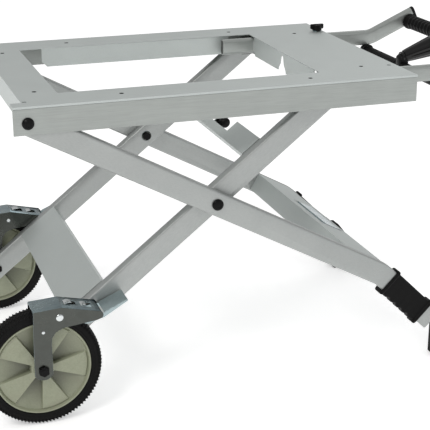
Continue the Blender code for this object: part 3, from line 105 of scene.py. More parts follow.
def surface(name, dark, light, grain, stretch=(1, 1, 1), turn=(0, 0, 0), rough=(0.4, 0.5), bump=0.1,
            blotch_mm=60, blotch=0.15, dust=None, sides=None, pocket=None, **shader_values):
    """A finish from two noises: grain of a real size in mm, stretched along the work, and slow blotches.
    dust is a colour and its share, laid in patches. sides is a colour and its share of painted shade for
    faces that look along y. pocket is a colour of painted shade, the distance of a plane from the middle, and
    the depth it fades out over."""
    material, tree, shader = start_material(name, **shader_values)
    coordinates = add_node(tree, "ShaderNodeTexCoord")
    place = coordinates.outputs["Object"]
    turned = add_node(tree, "ShaderNodeMapping", {"Vector": place, "Rotation": turn}, vector_type="TEXTURE")
    along = add_node(tree, "ShaderNodeMapping", {"Vector": turned.outputs[0], "Scale": stretch})
    fine = add_node(tree, "ShaderNodeTexNoise", {
        "Vector": along.outputs[0], "Scale": 1 / (grain * MM), "Detail": 3.0, "Roughness": 0.6})
    slow = add_node(tree, "ShaderNodeTexNoise", {
        "Vector": place, "Scale": 1 / (blotch_mm * MM), "Detail": 2.0})
    mixed = add_node(tree, "ShaderNodeMix", {0: blotch, 2: fine.outputs[0], 3: slow.outputs[0]},
                     data_type="FLOAT")
    spread = {0: mixed.outputs[0], 1: NOISE_LOW, 2: NOISE_HIGH}
    ramp = add_node(tree, "ShaderNodeMapRange", spread)
    tint = add_node(tree, "ShaderNodeMix", {0: ramp.outputs[0], 6: linear(dark), 7: linear(light)},
                    data_type="RGBA")
    gloss = add_node(tree, "ShaderNodeMapRange", {**spread, 3: rough[0], 4: rough[1]})
    colour = tint.outputs[2]
    if dust is not None:
        dust_colour, dust_share = dust
        patch = add_node(tree, "ShaderNodeMapRange", {
            0: slow.outputs[0], 1: 0.45, 2: 0.75, 3: 0.0, 4: dust_share})
        dusty = add_node(tree, "ShaderNodeMix", {0: patch.outputs[0], 6: colour, 7: linear(dust_colour)},
                         data_type="RGBA")
        colour = dusty.outputs[2]
    # Painted shade: the nearer a point lies to the plane at the given distance, the darker it is, as deep in
    # recesses.
    if pocket is not None:
        pocket_shade_colour, distance, fade = pocket
        place_parts = add_node(tree, "ShaderNodeSeparateXYZ", {0: place})
        from_middle = add_node(tree, "ShaderNodeMath", {0: place_parts.outputs[1]}, operation="ABSOLUTE")
        off_plane = add_node(tree, "ShaderNodeMath", {0: from_middle.outputs[0], 1: distance},
                             operation="SUBTRACT")
        depth = add_node(tree, "ShaderNodeMath", {0: off_plane.outputs[0]}, operation="ABSOLUTE")
        share = add_node(tree, "ShaderNodeMapRange", {
            0: depth.outputs[0], 1: 1 * MM, 2: fade, 3: 0.75, 4: 0.0})
        pocket_shaded = add_node(tree, "ShaderNodeMix", {0: share.outputs[0], 6: colour, 7: linear(pocket_shade_colour)},
                         data_type="RGBA")
        colour = pocket_shaded.outputs[2]
    # Painted shade: faces that look along y are darkened towards the side colour, standing in for a dark
    # reflection.
    if sides is not None:
        side_shade_colour, side_share = sides
        facing = add_node(tree, "ShaderNodeSeparateXYZ", {0: coordinates.outputs["Normal"]})
        sideways = add_node(tree, "ShaderNodeMath", {0: facing.outputs[1]}, operation="ABSOLUTE")
        share = add_node(tree, "ShaderNodeMapRange", {
            0: sideways.outputs[0], 1: 0.7, 2: 0.95, 3: 0.0, 4: side_share})
        side_shaded = add_node(tree, "ShaderNodeMix", {0: share.outputs[0], 6: colour, 7: linear(side_shade_colour)},
                          data_type="RGBA")
        colour = side_shaded.outputs[2]
    relief = add_node(tree, "ShaderNodeBump", {
        "Height": fine.outputs[0], "Strength": bump, "Distance": RELIEF})
    tree.links.new(colour, shader.inputs["Base Color"])
    tree.links.new(gloss.outputs[0], shader.inputs["Roughness"])
    tree.links.new(relief.outputs[0], shader.inputs["Normal"])
    return material


# The wheels' mid-plane, for the painted shade deep in the rim's pockets,
# and how the legs slope at rest, for the die lines along them.
WHEEL_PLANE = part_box("rim_rear")[0].y / 2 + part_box("rim_rear")[1].y / 2
LEG_SLOPE = {"outer": math.radians(28.41), "inner": math.radians(-38.35)}

# Powder coat on folded sheet: even satin silver with a faint orange peel of about 2 mm.
SHEET_PAINT = surface("silver_powder_coat", "B6BCBA", "BFC5C3", 2.0, rough=(0.42, 0.50), bump=0.12,
                      blotch=0.35, Metallic=0.45)
# Anodised extrusion: cool silver with die lines along its length, drawn 1 mm apart so that they show.
RAIL_METAL = surface("anodised_extrusion", "969A97", "A8ACA9", 1.0, stretch=(0.02, 1, 1), rough=(0.30, 0.42),
                     bump=0.10, blotch=0.3, Metallic=0.75)
LEG_METAL = {
    which: surface("anodised_leg_tube_" + which, "9C9F9E", "AEB1AF", 0.9, stretch=(0.12, 1, 1),
                   turn=(0, slope, 0), rough=(0.34, 0.46), bump=0.14, blotch=0.3, Metallic=0.70)
    for which, slope in LEG_SLOPE.items()}
# Bright zinc plate: bluish grey, streaked by the bath, with small spangles.
# The cheeks that look along y get painted shade, darker and warmer, in place of a dark reflection.
ZINC = surface("bright_zinc_plate", "74848A", "A2B2B5", 6.0, stretch=(0.4, 1, 0.4), rough=(0.16, 0.32),
               bump=0.05, blotch_mm=35, blotch=0.55, dust=("7C7D76", 0.25), sides=("474640", 0.90),
               Metallic=1.0)
# Brake levers: the same bath, paler and evener on a flat pressing.
PALE_ZINC = surface("pale_zinc_pressing", "94A4A7", "AEBCBE", 5.0, rough=(0.28, 0.40), bump=0.05,
                    blotch_mm=40, blotch=0.5, Metallic=0.85)
# Bright rivet steel: near white, polished by the snap.
RIVET_STEEL = surface("snapped_rivet_steel", "C6CBCC", "DDE1E1", 1.5, rough=(0.12, 0.22), bump=0.04,
                      Metallic=1.0)
# Black oxide on fasteners: near black, dull shine, slightly grainy.
BLACK_STEEL = surface("black_oxide_steel", "040404", "0B0B0C", 0.8, rough=(0.25, 0.40), bump=0.15,
                      Metallic=0.0, Specular_IOR_Level=0.14)
# Glass-filled nylon: black, fine leathery grain from the mould.
BLACK_NYLON = surface("black_nylon", "070707", "101010", 0.9, rough=(0.34, 0.48), bump=0.25, IOR=1.53,
                      Specular_IOR_Level=0.15)
# Polished moulding of the lever grip: deep black with a wet shine.
GLOSS_BLACK = surface("polished_black_moulding", "030303", "070707", 1.2, rough=(0.10, 0.18), bump=0.03,
                      IOR=1.5, Specular_IOR_Level=0.35)
# Soft grip rubber: matt black, fine texture.
GRIP_RUBBER = surface("grip_rubber", "070707", "0F0F0F", 0.7, rough=(0.45, 0.62), bump=0.3, IOR=1.52,
                      Specular_IOR_Level=0.12)
# Tyre rubber: charcoal with a little bloom in patches.
TYRE_RUBBER = surface("tyre_rubber", "070707", "101010", 1.2, rough=(0.48, 0.68), bump=0.35,
                      dust=("1E1D1B", 0.35), IOR=1.52, Specular_IOR_Level=0.12)
# Moulded polypropylene rim: cream grey with a slight green cast, smooth with faint flow marks.
# Painted shade darkens the sunken sectors towards the wheel's mid-plane.
RIM_PLASTIC = surface("cream_polypropylene", "868A74", "9A9E88", 3.0, rough=(0.28, 0.42), bump=0.08,
                      blotch_mm=30, blotch=0.5, dust=("72705E", 0.35), pocket=("2E2F26", WHEEL_PLANE, 0.012),
                      IOR=1.49)


# ---------------------------------------------------------------- shapes from the CAD nodes
def dress(name, material):
    """Gives a carried-over CAD node its finish."""
    holder = nodes[name].data.materials
    holder.clear()
    holder.append(material)


def soften(name, material, width_mm=0.5, steps=2, angle=25, reshape=None):
    """A copy of a CAD node with its edges rolled over, which stands for the node. A width of 0 keeps the
    edges and only evens the shading of the flats. reshape(shape, name) may change the copy first."""
    source = nodes[name]
    shape = bmesh.new()
    shape.from_mesh(source.data)
    bmesh.ops.remove_doubles(shape, verts=shape.verts, dist=0.00001)
    if reshape:
        reshape(shape, name)
    if width_mm:
        bmesh.ops.dissolve_limit(shape, angle_limit=math.radians(0.6), verts=shape.verts, edges=shape.edges)
    mesh = bpy.data.meshes.new(name + "_dressed")
    shape.to_mesh(mesh)
    shape.free()
    for polygon in mesh.polygons:
        polygon.use_smooth = True
    mesh.set_sharp_from_angle(angle=math.radians(35))
    piece = bpy.data.objects.new(name + "_dressed", mesh)
    bpy.context.scene.collection.objects.link(piece)
    if width_mm:
        roll = piece.modifiers.new("rolled_edges", "BEVEL")
        roll.width = width_mm * MM
        roll.segments = steps
        roll.limit_method = "ANGLE"
        roll.angle_limit = math.radians(angle)
        roll.use_clamp_overlap = False
        roll.harden_normals = True
    else:
        evened = piece.modifiers.new("flats_stay_flat", "WEIGHTED_NORMAL")
        evened.keep_sharp = True
        evened.weight = 100
    bake(piece)
    piece.data.materials.clear()
    piece.data.materials.append(material)
    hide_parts(name)
    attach(piece, source["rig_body"])
    return piece


def joint_place(name):
    return Vector(next(joint["pos_m"] for joint in frame["joints"] if joint["name"] == name))


def bake(piece):
    """Turns a piece and its modifiers into a plain mesh."""
    graph = bpy.context.evaluated_depsgraph_get()
    graph.update()
    mesh = bpy.data.meshes.new_from_object(piece.evaluated_get(graph))
    mesh.name = piece.name
    piece.modifiers.clear()
    piece.data = mesh
    return piece


# The ear's half length, top and proud face about the bar's axis, and the underside of the tube.
EAR_REACH, EAR_ABOVE, EAR_PROUD, EAR_SLACK, TUBE_UNDERSIDE = 0.020, 0.045, 0.0015, 0.0002, 0.0115


def without_ear(shape, name):
    """Takes the bar's ear off the handle tube, where the moulded bearing covers it, and closes the wall."""
    low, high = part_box(name)
    bar = joint_place("release_lever_press")
    inward = 1 if low.y < 0 else -1
    wall = (high.y if inward > 0 else low.y) - inward * EAR_PROUD
    ear = [v for v in shape.verts if abs(v.co.x - bar.x) < EAR_REACH and v.co.z < bar.z + EAR_ABOVE
           and abs((v.co.y - wall) * inward - EAR_PROUD) < EAR_SLACK]
    bmesh.ops.delete(shape, geom=ear, context="VERTS")
    hanging = [v for v in shape.verts
               if abs(v.co.x - bar.x) < EAR_REACH and v.co.z < bar.z + TUBE_UNDERSIDE]
    bmesh.ops.delete(shape, geom=hanging, context="VERTS")
    bmesh.ops.holes_fill(shape, edges=[edge for edge in shape.edges if edge.is_boundary], sides=0)
    bmesh.ops.recalc_face_normals(shape, faces=shape.faces)


# How far the boot's near face and top are drawn in, and over what distance that dies out.
BOOT_NEAR, BOOT_NEAR_RUN, BOOT_TOP, BOOT_TOP_RUN = 0.010, 0.020, 0.008, 0.030


def slimmer_boot(shape, name):
    """Draws the boot's near face and top in a little."""
    low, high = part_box(name)
    for vert in shape.verts:
        vert.co.x += BOOT_NEAR * max(0.0, 1 - (vert.co.x - low.x) / BOOT_NEAR_RUN)
        vert.co.z -= BOOT_TOP * max(0.0, 1 - (high.z - vert.co.z) / BOOT_TOP_RUN)


SHEET_NODES = ("top_plate", "outer_lower_plate", "outer_upper_plate", "inner_lower_plate",
               "inner_upper_plate")
for name in SHEET_NODES:
    soften(name, SHEET_PAINT, 0)
for side in SIDES:
    soften(side + "_rail", RAIL_METAL, 0.7)
    soften("outer_leg_" + side, LEG_METAL["outer"], 0.6)
    soften("inner_leg_" + side, LEG_METAL["inner"], 0.6)
    soften(side + "_handle_tube", RAIL_METAL, 0, reshape=without_ear)
    for name in (side + "_slide_track", side + "_handle_guide"):
        soften(name, ZINC, 0)
    soften("fork_" + side, ZINC, 0.8)
    soften("brake_pedal_" + side, PALE_ZINC, 0.5)
    for name in (side + "_hinge_bolt", side + "_pivot_bolt", "wheel_axle_" + side):
        dress(name, BLACK_STEEL)
    soften(side + "_handle_cap", BLACK_NYLON, 2.0, 3)
    soften("foot_" + side, GRIP_RUBBER, 2.5, 3, reshape=slimmer_boot)
    dress("brake_shoe_" + side, GRIP_RUBBER)
    dress("slider_pin_" + side, ZINC)
    dress("slider_roller_" + side, BLACK_NYLON)
    dress("brake_rivet_%s_inner" % side, RIVET_STEEL)
for name in ("release_pin", "release_pedal", "latch_bracket", "latch_hook", "clamp_stud", "clamp_washer",
             "latch_spring", "handle_crossbar"):
    dress(name, ZINC)
soften("clamp_knob", BLACK_NYLON, 1.0, 3)
soften("latch_knob", BLACK_NYLON, 0)
soften("release_lever_shaft", BLACK_NYLON, 0)


# ---------------------------------------------------------------- turned and spun shapes
def finish_piece(name, shape, material, body, stands_for=()):
    """Closes the books on a piece: mesh, finish, body and the CAD nodes that it stands for."""
    bmesh.ops.recalc_face_normals(shape, faces=shape.faces)
    mesh = bpy.data.meshes.new(name)
    shape.to_mesh(mesh)
    shape.free()
    for polygon in mesh.polygons:
        polygon.use_smooth = True
    mesh.set_sharp_from_angle(angle=math.radians(38))
    mesh.materials.append(material)
    piece = bpy.data.objects.new(name, mesh)
    bpy.context.scene.collection.objects.link(piece)
    if stands_for:
        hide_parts(*stands_for)
    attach(piece, body)
    return piece


def frame_on(axis):
    """Two directions across an axis, for drawing rounds on it."""
    axis = Vector(axis).normalized()
    across = Vector((0, 0, 1)) if abs(axis.z) < 0.9 else Vector((1, 0, 0))
    first = (across - axis * across.dot(axis)).normalized()
    return axis, first, axis.cross(first)


def spin(stations, centre, axis, angles, shape=None):
    """Rounds of (radius, along) stations. A station of no radius is a pole, and a profile with no poles
    closes on itself. shape(index, angle, radius, along) may return another radius and place."""
    work = bmesh.new()
    axis, first, second = frame_on(axis)
    centre = Vector(centre)
    rings = []
    for index, (radius, along) in enumerate(stations):
        if radius == 0:
            rings.append([work.verts.new(centre + axis * along)])
            continue
        ring = []
        for angle in angles:
            r, a = shape(index, angle, radius, along) if shape else (radius, along)
            outward = first * math.cos(angle) + second * math.sin(angle)
            ring.append(work.verts.new(centre + axis * a + outward * r))
        rings.append(ring)
    joined = list(zip(rings, rings[1:]))
    if len(rings[0]) > 1 and len(rings[-1]) > 1:
        joined.append((rings[-1], rings[0]))
    count = len(angles)
    for low, high in joined:
        for i in range(count):
            k = (i + 1) % count
            if len(low) == 1:
                work.faces.new((low[0], high[k], high[i]))
            elif len(high) == 1:
                work.faces.new((low[i], low[k], high[0]))
            else:
                work.faces.new((low[i], low[k], high[k], high[i]))
    return work


def even(count):
    return [2 * math.pi * i / count for i in range(count)]


def polygon_radius(sides, radius, angle):
    """Radius of a regular polygon's edge, radius being to its corners."""
    part = 2 * math.pi / sides
    return radius * math.cos(part / 2) / math.cos(angle % part - part / 2)


def middle(node):
    low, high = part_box(node)
    return (low + high) / 2


# ---------------------------------------------------------------- wheels
RIM_SECTORS = 10
SECTOR = 2 * math.pi / RIM_SECTORS
FIRST_EDGE = math.radians(3.0)
RIM_OUT, LIP_IN, FLOOR_OUT, HUB_OUT = 0.1008, 0.0952, 0.0925, 0.0235
RIM_HALF, RIM_BORE = 0.0184, 0.0063


def sector_angles():
    """Angles of the rim's spin, packed close on both sides of each step between its sectors."""
    shares = (-0.022, 0.022, 0.07, 0.18, 0.34, 0.50, 0.66, 0.82, 0.93)
    return [FIRST_EDGE + SECTOR * (i + share) for i in range(RIM_SECTORS) for share in shares]


def rim_shape(half):
    """Raised and sunken sectors by turns: the sunken ones are deep at the hub and rise towards the lip."""
    def shape(index, angle, radius, along):
        if not HUB_OUT < radius < LIP_IN - 0.001:
            return radius, along
        sector = int(math.floor((angle - FIRST_EDGE) / SECTOR + 0.001))
        outward = (radius - HUB_OUT) / (LIP_IN - HUB_OUT)
        if sector % 2:
            level = half * (0.08 + 0.50 * outward ** 1.3)
        else:
            level = half * (0.86 - 0.14 * outward)
        return radius, math.copysign(level, along)
    return shape


def rim(side):
    low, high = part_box("rim_" + side)
    centre = (low + high) / 2
    half = RIM_HALF
    hub = (high.y - low.y) / 2
    # Hub, then the floor between hub and lip, whose level rim_shape gives, then the lip.
    face = [(RIM_BORE, hub), (0.0165, hub), (0.0185, hub - 0.0015), (0.0200, half * 1.02),
            (HUB_OUT, half * 0.95),
            (0.0260, 1.0), (0.0340, 1.0), (0.0440, 1.0), (0.0560, 1.0), (0.0700, 1.0), (0.0820, 1.0),
            (0.0890, 1.0), (FLOOR_OUT, 1.0), (LIP_IN, half * 0.60), (LIP_IN + 0.0016, half * 0.93),
            (LIP_IN + 0.0026, half), (RIM_OUT - 0.0006, half), (RIM_OUT, half - 0.0010)]
    back = [(radius, -along) for radius, along in reversed(face)]
    shape = spin(face + back, centre, (0, 1, 0), sector_angles(), rim_shape(half))
    return finish_piece("rim_moulding_" + side, shape, RIM_PLASTIC, "wheel_" + side, ["rim_" + side])


def tyre(side):
    low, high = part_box("tyre_" + side)
    centre = (low + high) / 2
    radius = (high.z - low.z) / 2
    half = (high.y - low.y) / 2
    inner = RIM_OUT + 0.0004
    # From the bead, over a fine ring in the side wall and a step at the shoulder, to the crown.
    wall = [(inner, half * 0.86), (inner + 0.0020, half * 0.97), (inner + 0.0060, half),
            (inner + 0.0064, half - 0.0005), (inner + 0.0074, half - 0.0005), (inner + 0.0078, half),
            (radius - 0.0085, half * 0.985), (radius - 0.0080, half * 0.960), (radius - 0.0070, half * 0.960),
            (radius - 0.0055, half * 0.90), (radius - 0.0032, half * 0.80), (radius - 0.0016, half * 0.55),
            (radius - 0.0010, half * 0.2)]
    back = [(r, -a) for r, a in reversed(wall)]
    shape = spin(wall + back, centre, (0, 1, 0), even(144))
    finish_piece("tyre_carcass_" + side, shape, TYRE_RUBBER, "wheel_" + side, ["tyre_" + side])
    tread(side, centre, radius, half)


def lug_template():
    """One tread block, a low chamfered bar, drawn lying on x-y with its root below."""
    shape = bmesh.new()
    length, width, height, slope, root = 0.0120, 0.0030, 0.0028, 0.0005, 0.0020
    levels = [(-root, 0.0), (height - root - slope, 0.0), (height - root, slope)]
    rings = []
    for z, inset in levels:
        x, y = length / 2 - inset, width / 2 - inset
        rings.append([shape.verts.new((*corner, z)) for corner in ((x, y), (-x, y), (-x, -y), (x, -y))])
    for low, high in zip(rings, rings[1:]):
        for i in range(4):
            shape.faces.new((low[i], low[(i + 1) % 4], high[(i + 1) % 4], high[i]))
    shape.faces.new(rings[-1])
    shape.faces.new(reversed(rings[0]))
    bmesh.ops.recalc_face_normals(shape, faces=shape.faces)
    mesh = bpy.data.meshes.new("lug")
    shape.to_mesh(mesh)
    shape.free()
    return bpy.data.objects.new("lug", mesh)


def wreath_tree():
    """Geometry nodes: copies of one piece round the y axis, each turned to face outwards and slanted."""
    tree = bpy.data.node_groups.new("wreath_of_copies", "GeometryNodeTree")
    tree.interface.new_socket("Geometry", in_out="INPUT", socket_type="NodeSocketGeometry")
    for label, kind in (("Piece", "Object"), ("Copies", "Int"), ("Radius", "Float"), ("Slant", "Float"),
                        ("Start", "Float"), ("Sideways", "Float"), ("Lean", "Float"),
                        ("Material", "Material")):
        tree.interface.new_socket(label, in_out="INPUT", socket_type="NodeSocket" + kind)
    tree.interface.new_socket("Geometry", in_out="OUTPUT", socket_type="NodeSocketGeometry")
    given = add_node(tree, "NodeGroupInput").outputs
    piece = add_node(tree, "GeometryNodeObjectInfo", {"Object": given["Piece"]})
    points = add_node(tree, "GeometryNodeMeshLine", {"Count": given["Copies"], "Offset": (0, 0, 0)})
    index = add_node(tree, "GeometryNodeInputIndex")
    part = add_node(tree, "ShaderNodeMath", {0: 2 * math.pi, 1: given["Copies"]}, operation="DIVIDE")
    turn = add_node(tree, "ShaderNodeMath", {0: index.outputs[0], 1: part.outputs[0], 2: given["Start"]},
                    operation="MULTIPLY_ADD")
    round_y = add_node(tree, "ShaderNodeCombineXYZ", {"Y": turn.outputs[0]})
    out = add_node(tree, "ShaderNodeCombineXYZ", {"Y": given["Sideways"], "Z": given["Radius"]})
    place = add_node(tree, "ShaderNodeVectorRotate", {
        "Vector": out.outputs[0], "Rotation": round_y.outputs[0]}, rotation_type="EULER_XYZ")
    placed = add_node(tree, "GeometryNodeSetPosition", {
        "Geometry": points.outputs[0], "Position": place.outputs[0]})
    tilt = add_node(tree, "ShaderNodeCombineXYZ", {"X": given["Lean"], "Z": given["Slant"]})
    first = add_node(tree, "FunctionNodeEulerToRotation", {0: tilt.outputs[0]})
    then = add_node(tree, "FunctionNodeEulerToRotation", {0: round_y.outputs[0]})
    both = add_node(tree, "FunctionNodeRotateRotation", {
        "Rotation": first.outputs[0], "Rotate By": then.outputs[0]}, rotation_space="GLOBAL")
    copies = add_node(tree, "GeometryNodeInstanceOnPoints", {
        "Points": placed.outputs[0], "Instance": piece.outputs["Geometry"], "Rotation": both.outputs[0]})
    whole = add_node(tree, "GeometryNodeRealizeInstances", {"Geometry": copies.outputs[0]})
    painted = add_node(tree, "GeometryNodeSetMaterial", {
        "Geometry": whole.outputs[0], "Material": given["Material"]})
    add_node(tree, "NodeGroupOutput", {"Geometry": painted.outputs[0]})
    return tree


WREATH = wreath_tree()


def wreath(template, centre, **sizes):
    """The wreath as a plain mesh, moved to its centre."""
    holder = bpy.data.objects.new("wreath", bpy.data.meshes.new("wreath"))
    bpy.context.scene.collection.objects.link(holder)
    maker = holder.modifiers.new("wreath", "NODES")
    maker.node_group = WREATH
    named = {item.name: item.identifier for item in WREATH.interface.items_tree if item.in_out == "INPUT"}
    maker[named["Piece"]] = template
    for label, value in sizes.items():
        maker[named[label]] = value
    graph = bpy.context.evaluated_depsgraph_get()
    graph.update()
    mesh = bpy.data.meshes.new_from_object(holder.evaluated_get(graph))
    mesh.transform(Matrix.Translation(Vector(centre)))
    bpy.data.objects.remove(holder, do_unlink=True)
    return mesh


TREAD_COPIES = 100
# Each row: slant, place as a share of the half width, phase, rise over the crown, lean to the shoulder.
TREAD_ROWS = ((0.62, 0.30, 0.0, -0.0010, 0.0), (-0.62, -0.30, 0.5, -0.0010, 0.0),
              (0.35, 0.84, 0.5, -0.0046, -0.62), (-0.35, -0.84, 0.0, -0.0046, 0.62))


def tread(side, centre, radius, half):
    """Two staggered rows of slanted blocks across the crown and a row of short ones on each shoulder."""
    template = lug_template()
    bpy.context.scene.collection.objects.link(template)
    shape = bmesh.new()
    for slant, place, phase, rise, lean in TREAD_ROWS:
        shape.from_mesh(wreath(
            template, centre, Copies=TREAD_COPIES, Radius=radius + rise, Slant=math.pi / 2 + slant,
            Start=phase * 2 * math.pi / TREAD_COPIES, Sideways=place * half, Lean=lean,
            Material=TYRE_RUBBER))
    bpy.data.objects.remove(template, do_unlink=True)
    finish_piece("tread_" + side, shape, TYRE_RUBBER, "wheel_" + side)


for side in SIDES:
    rim(side)
    tyre(side)


# ---------------------------------------------------------------- handle, lever and knobs
def handle_grip():
    """Rubber sleeve on the crossbar: softly eight-sided in the hand, with collars and fine rings."""
    low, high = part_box("handle_grip")
    centre = (low + high) / 2
    half = (high.y - low.y) / 2
    radius = (high.z - low.z) / 2
    stations = [(0.0084, half), (radius * 0.90, half), (radius, half - 0.0015), (radius, half - 0.0060),
                (radius * 0.84, half - 0.0075)]
    waves, steps = 22, 10
    reach = half - 0.0100
    for i in range(waves * steps + 1):
        stations.append((radius * (0.885 + 0.055 * math.cos(2 * math.pi * i / steps)),
                         reach - 2 * reach * i / (waves * steps)))
    stations += [(r, -a) for r, a in reversed(stations[:5])]

    def faceted(index, angle, r, along):
        if abs(along) > half - 0.0070 or r < radius * 0.6:
            return r, along
        return 0.35 * r + 0.65 * polygon_radius(8, r * 1.04, angle), along
    shape = spin(stations, centre, (0, 1, 0), even(64), faceted)
    finish_piece("crossbar_sleeve", shape, GRIP_RUBBER, "handle", ["handle_grip"])


# The grip is drawn fatter and longer than its CAD body, and starts nearer the hub.
FATTER, LONGER, NEARER = 1.22, 1.10, 0.0170
LEVER_SLOPE = math.radians(16)
FLUTES, FLUTE_DEPTH, FLUTE_RUN = 8, 0.075, 0.02


def lever_grip():
    """Turned lever grip: a stub into the hub, a collar, a fluted taper and a rounded end."""
    axis = Vector((math.cos(LEVER_SLOPE), 0, math.sin(LEVER_SLOPE)))
    across = Vector((-axis.z, 0, axis.x))
    points = [vertex.co for vertex in nodes["release_lever_grip"].data.vertices]
    reach = min(point.dot(axis) for point in points)
    rise = [point.dot(across) for point in points]
    start = axis * (reach - NEARER) + across * ((min(rise) + max(rise)) / 2)
    stations = [(0.0063, 0.0), (0.0100, 0.0), (0.0108, 0.0010), (0.0108, 0.0040), (0.0096, 0.0050),
                (0.0096, 0.0070), (0.0116, 0.0085), (0.0128, 0.0150), (0.0142, 0.0260), (0.0158, 0.0400),
                (0.0172, 0.0520), (0.0186, 0.0640), (0.0196, 0.0740), (0.0194, 0.0800), (0.0176, 0.0845),
                (0.0120, 0.0870), (0.0, 0.0876)]

    def fluted(index, angle, r, along):
        if along < 0.0080 or along > 0.0860:
            return r, along
        depth = FLUTE_DEPTH * min(1.0, (along - 0.008) / FLUTE_RUN)
        return r * (1 - depth * (0.5 + 0.5 * math.cos(FLUTES * angle)) ** 3), along
    bore = stations[0][0]
    taper = [(r * FATTER if r > bore else r, a * LONGER) for r, a in stations]
    shape = spin([(0.0, 0.0300), (bore, 0.0300)] + taper, start, axis, even(96), fluted)
    finish_piece("lever_grip", shape, GLOSS_BLACK, "release_lever", ["release_lever_grip"])


def loft(rings):
    """A closed body through rings of the same number of points."""
    work = bmesh.new()
    rows = [[work.verts.new(point) for point in ring] for ring in rings]
    count = len(rows[0])
    for low, high in zip(rows, rows[1:]):
        for i in range(count):
            work.faces.new((low[i], low[(i + 1) % count], high[(i + 1) % count], high[i]))
    work.faces.new(reversed(rows[0]))
    work.faces.new(rows[-1])
    return work


def rounded_ring(place, across, up, half_width, bottom, top, corner):
    """A rectangle with round corners, half_width to each side along across, from bottom to top along up."""
    ring = []
    for sx, height, start in ((1, top, 0), (-1, top, 90), (-1, bottom, 180), (1, bottom, 270)):
        centre_height = height - corner if height == top else height + corner
        for step in range(6):
            angle = math.radians(start + 18 * step)
            ring.append(place + across * (sx * (half_width - corner) + corner * math.cos(angle))
                        + up * (centre_height + corner * math.sin(angle)))
    return ring


GRIP_SLOPE = math.radians(44.41)
HALF_TUBE = 0.0256
BEAD = 0.0090
FINGERS = 5
# Shares of the rubber's thickness: the waves' height, the sides' inset, and the least inset below.
WAVE_SHARE, SIDE_SHARE, UNDER_SHARE = 0.62, 0.55, 0.30


def leg_grip(side):
    """Sleeve on the bent end of the leg: a fat collar, a flat back, finger waves below and an end bead."""
    along = Vector((math.cos(GRIP_SLOPE), 0, -math.sin(GRIP_SLOPE)))
    up = Vector((math.sin(GRIP_SLOPE), 0, math.cos(GRIP_SLOPE)))
    name = "leg_grip_" + side
    points = [vertex.co for vertex in nodes[name].data.vertices]
    low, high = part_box(name)
    reach = [point.dot(along) for point in points]
    rise = [point.dot(up) for point in points]
    start, length = min(reach), max(reach) - min(reach)
    bottom, top = min(rise), max(rise)
    half = (high.y - low.y) / 2
    room = (top - bottom) / 2 - HALF_TUBE
    rings = []
    steps = 72
    for i in range(steps + 1):
        s = length * i / steps
        from_end = min(s, length - s)
        collar = max(0.0, 1.0 - (max(0.0, from_end - BEAD * 0.62) / (BEAD * 0.38)) ** 2)
        round_off = 0.0022 * max(0.0, 1.0 - from_end / 0.0030) ** 2
        turn = 2 * math.pi * FINGERS * (s - BEAD) / (length - 2 * BEAD)
        wave = room * WAVE_SHARE * (0.5 + 0.5 * math.cos(turn))
        inset = room * SIDE_SHARE * (1 - collar) + round_off
        under = (room * UNDER_SHARE + wave) * (1 - collar) + round_off
        place = along * (start + s) + Vector((0, (low.y + high.y) / 2, 0))
        rings.append(rounded_ring(place, ACROSS, up, half - inset, bottom + under, top - inset, 0.0055))
    finish_piece("leg_sleeve_" + side, loft(rings), GRIP_RUBBER, nodes[name]["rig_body"], [name])


handle_grip()
lever_grip()
for side in SIDES:
    leg_grip(side)


# ---------------------------------------------------------------- bolts and nuts
def button_head(name, seat, outward, radius, height, body):
    """Domed head with a six-sided socket."""
    deep = height * 0.55
    socket = radius * 0.50
    stations = [(0.0, -0.0008), (radius * 0.94, -0.0008), (radius, 0.0), (radius, height * 0.25),
                (radius * 0.96, height * 0.48), (radius * 0.85, height * 0.72),
                (radius * 0.70, height * 0.90), (socket * 1.25, height), (socket, height * 0.96),
                (socket, height - deep), (0.0, height - deep * 1.15)]

    def six(index, angle, r, along):
        return (polygon_radius(6, r * 1.12, angle), along) if index in (8, 9) else (r, along)
    shape = spin(stations, seat, outward, even(48), six)
    finish_piece(name, shape, BLACK_STEEL, body)


def hex_nut(name, seat, outward, across, height, body, bolt_radius):
    """Lock nut with a rounded collar, and the bolt's end showing in it."""
    corner = across / 2 / math.cos(math.pi / 6)
    stations = [(0.0, -0.0005), (across * 0.46, -0.0005), (corner, 0.0012), (corner, height * 0.62),
                (across * 0.47, height * 0.70), (across * 0.42, height), (bolt_radius * 1.15, height),
                (bolt_radius, height * 0.85), (bolt_radius, height * 1.20),
                (bolt_radius * 0.8, height * 1.28), (0.0, height * 1.28)]

    def six(index, angle, r, along):
        return (polygon_radius(6, r, angle), along) if index in (2, 3) else (r, along)
    shape = spin(stations, seat, outward, even(60), six)
    finish_piece(name, shape, BLACK_STEEL, body)


def washer(name, seat, outward, inner, outer, thick, body):
    edge = thick * 0.25
    stations = [(inner, 0.0), (outer - edge, 0.0), (outer, edge), (outer, thick - edge),
                (outer - edge, thick), (inner, thick)]
    shape = spin(stations, seat, outward, even(40))
    finish_piece(name, shape, ZINC, body)


def outer_y(node, side):
    low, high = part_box(node)
    return low.y if side == "front" else high.y


def inner_y(node, side):
    low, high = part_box(node)
    return high.y if side == "front" else low.y


def on_axis(node, y):
    """The point at y on the axis of a bolt or a rivet."""
    centre = middle(node)
    return Vector((centre.x, y, centre.z))


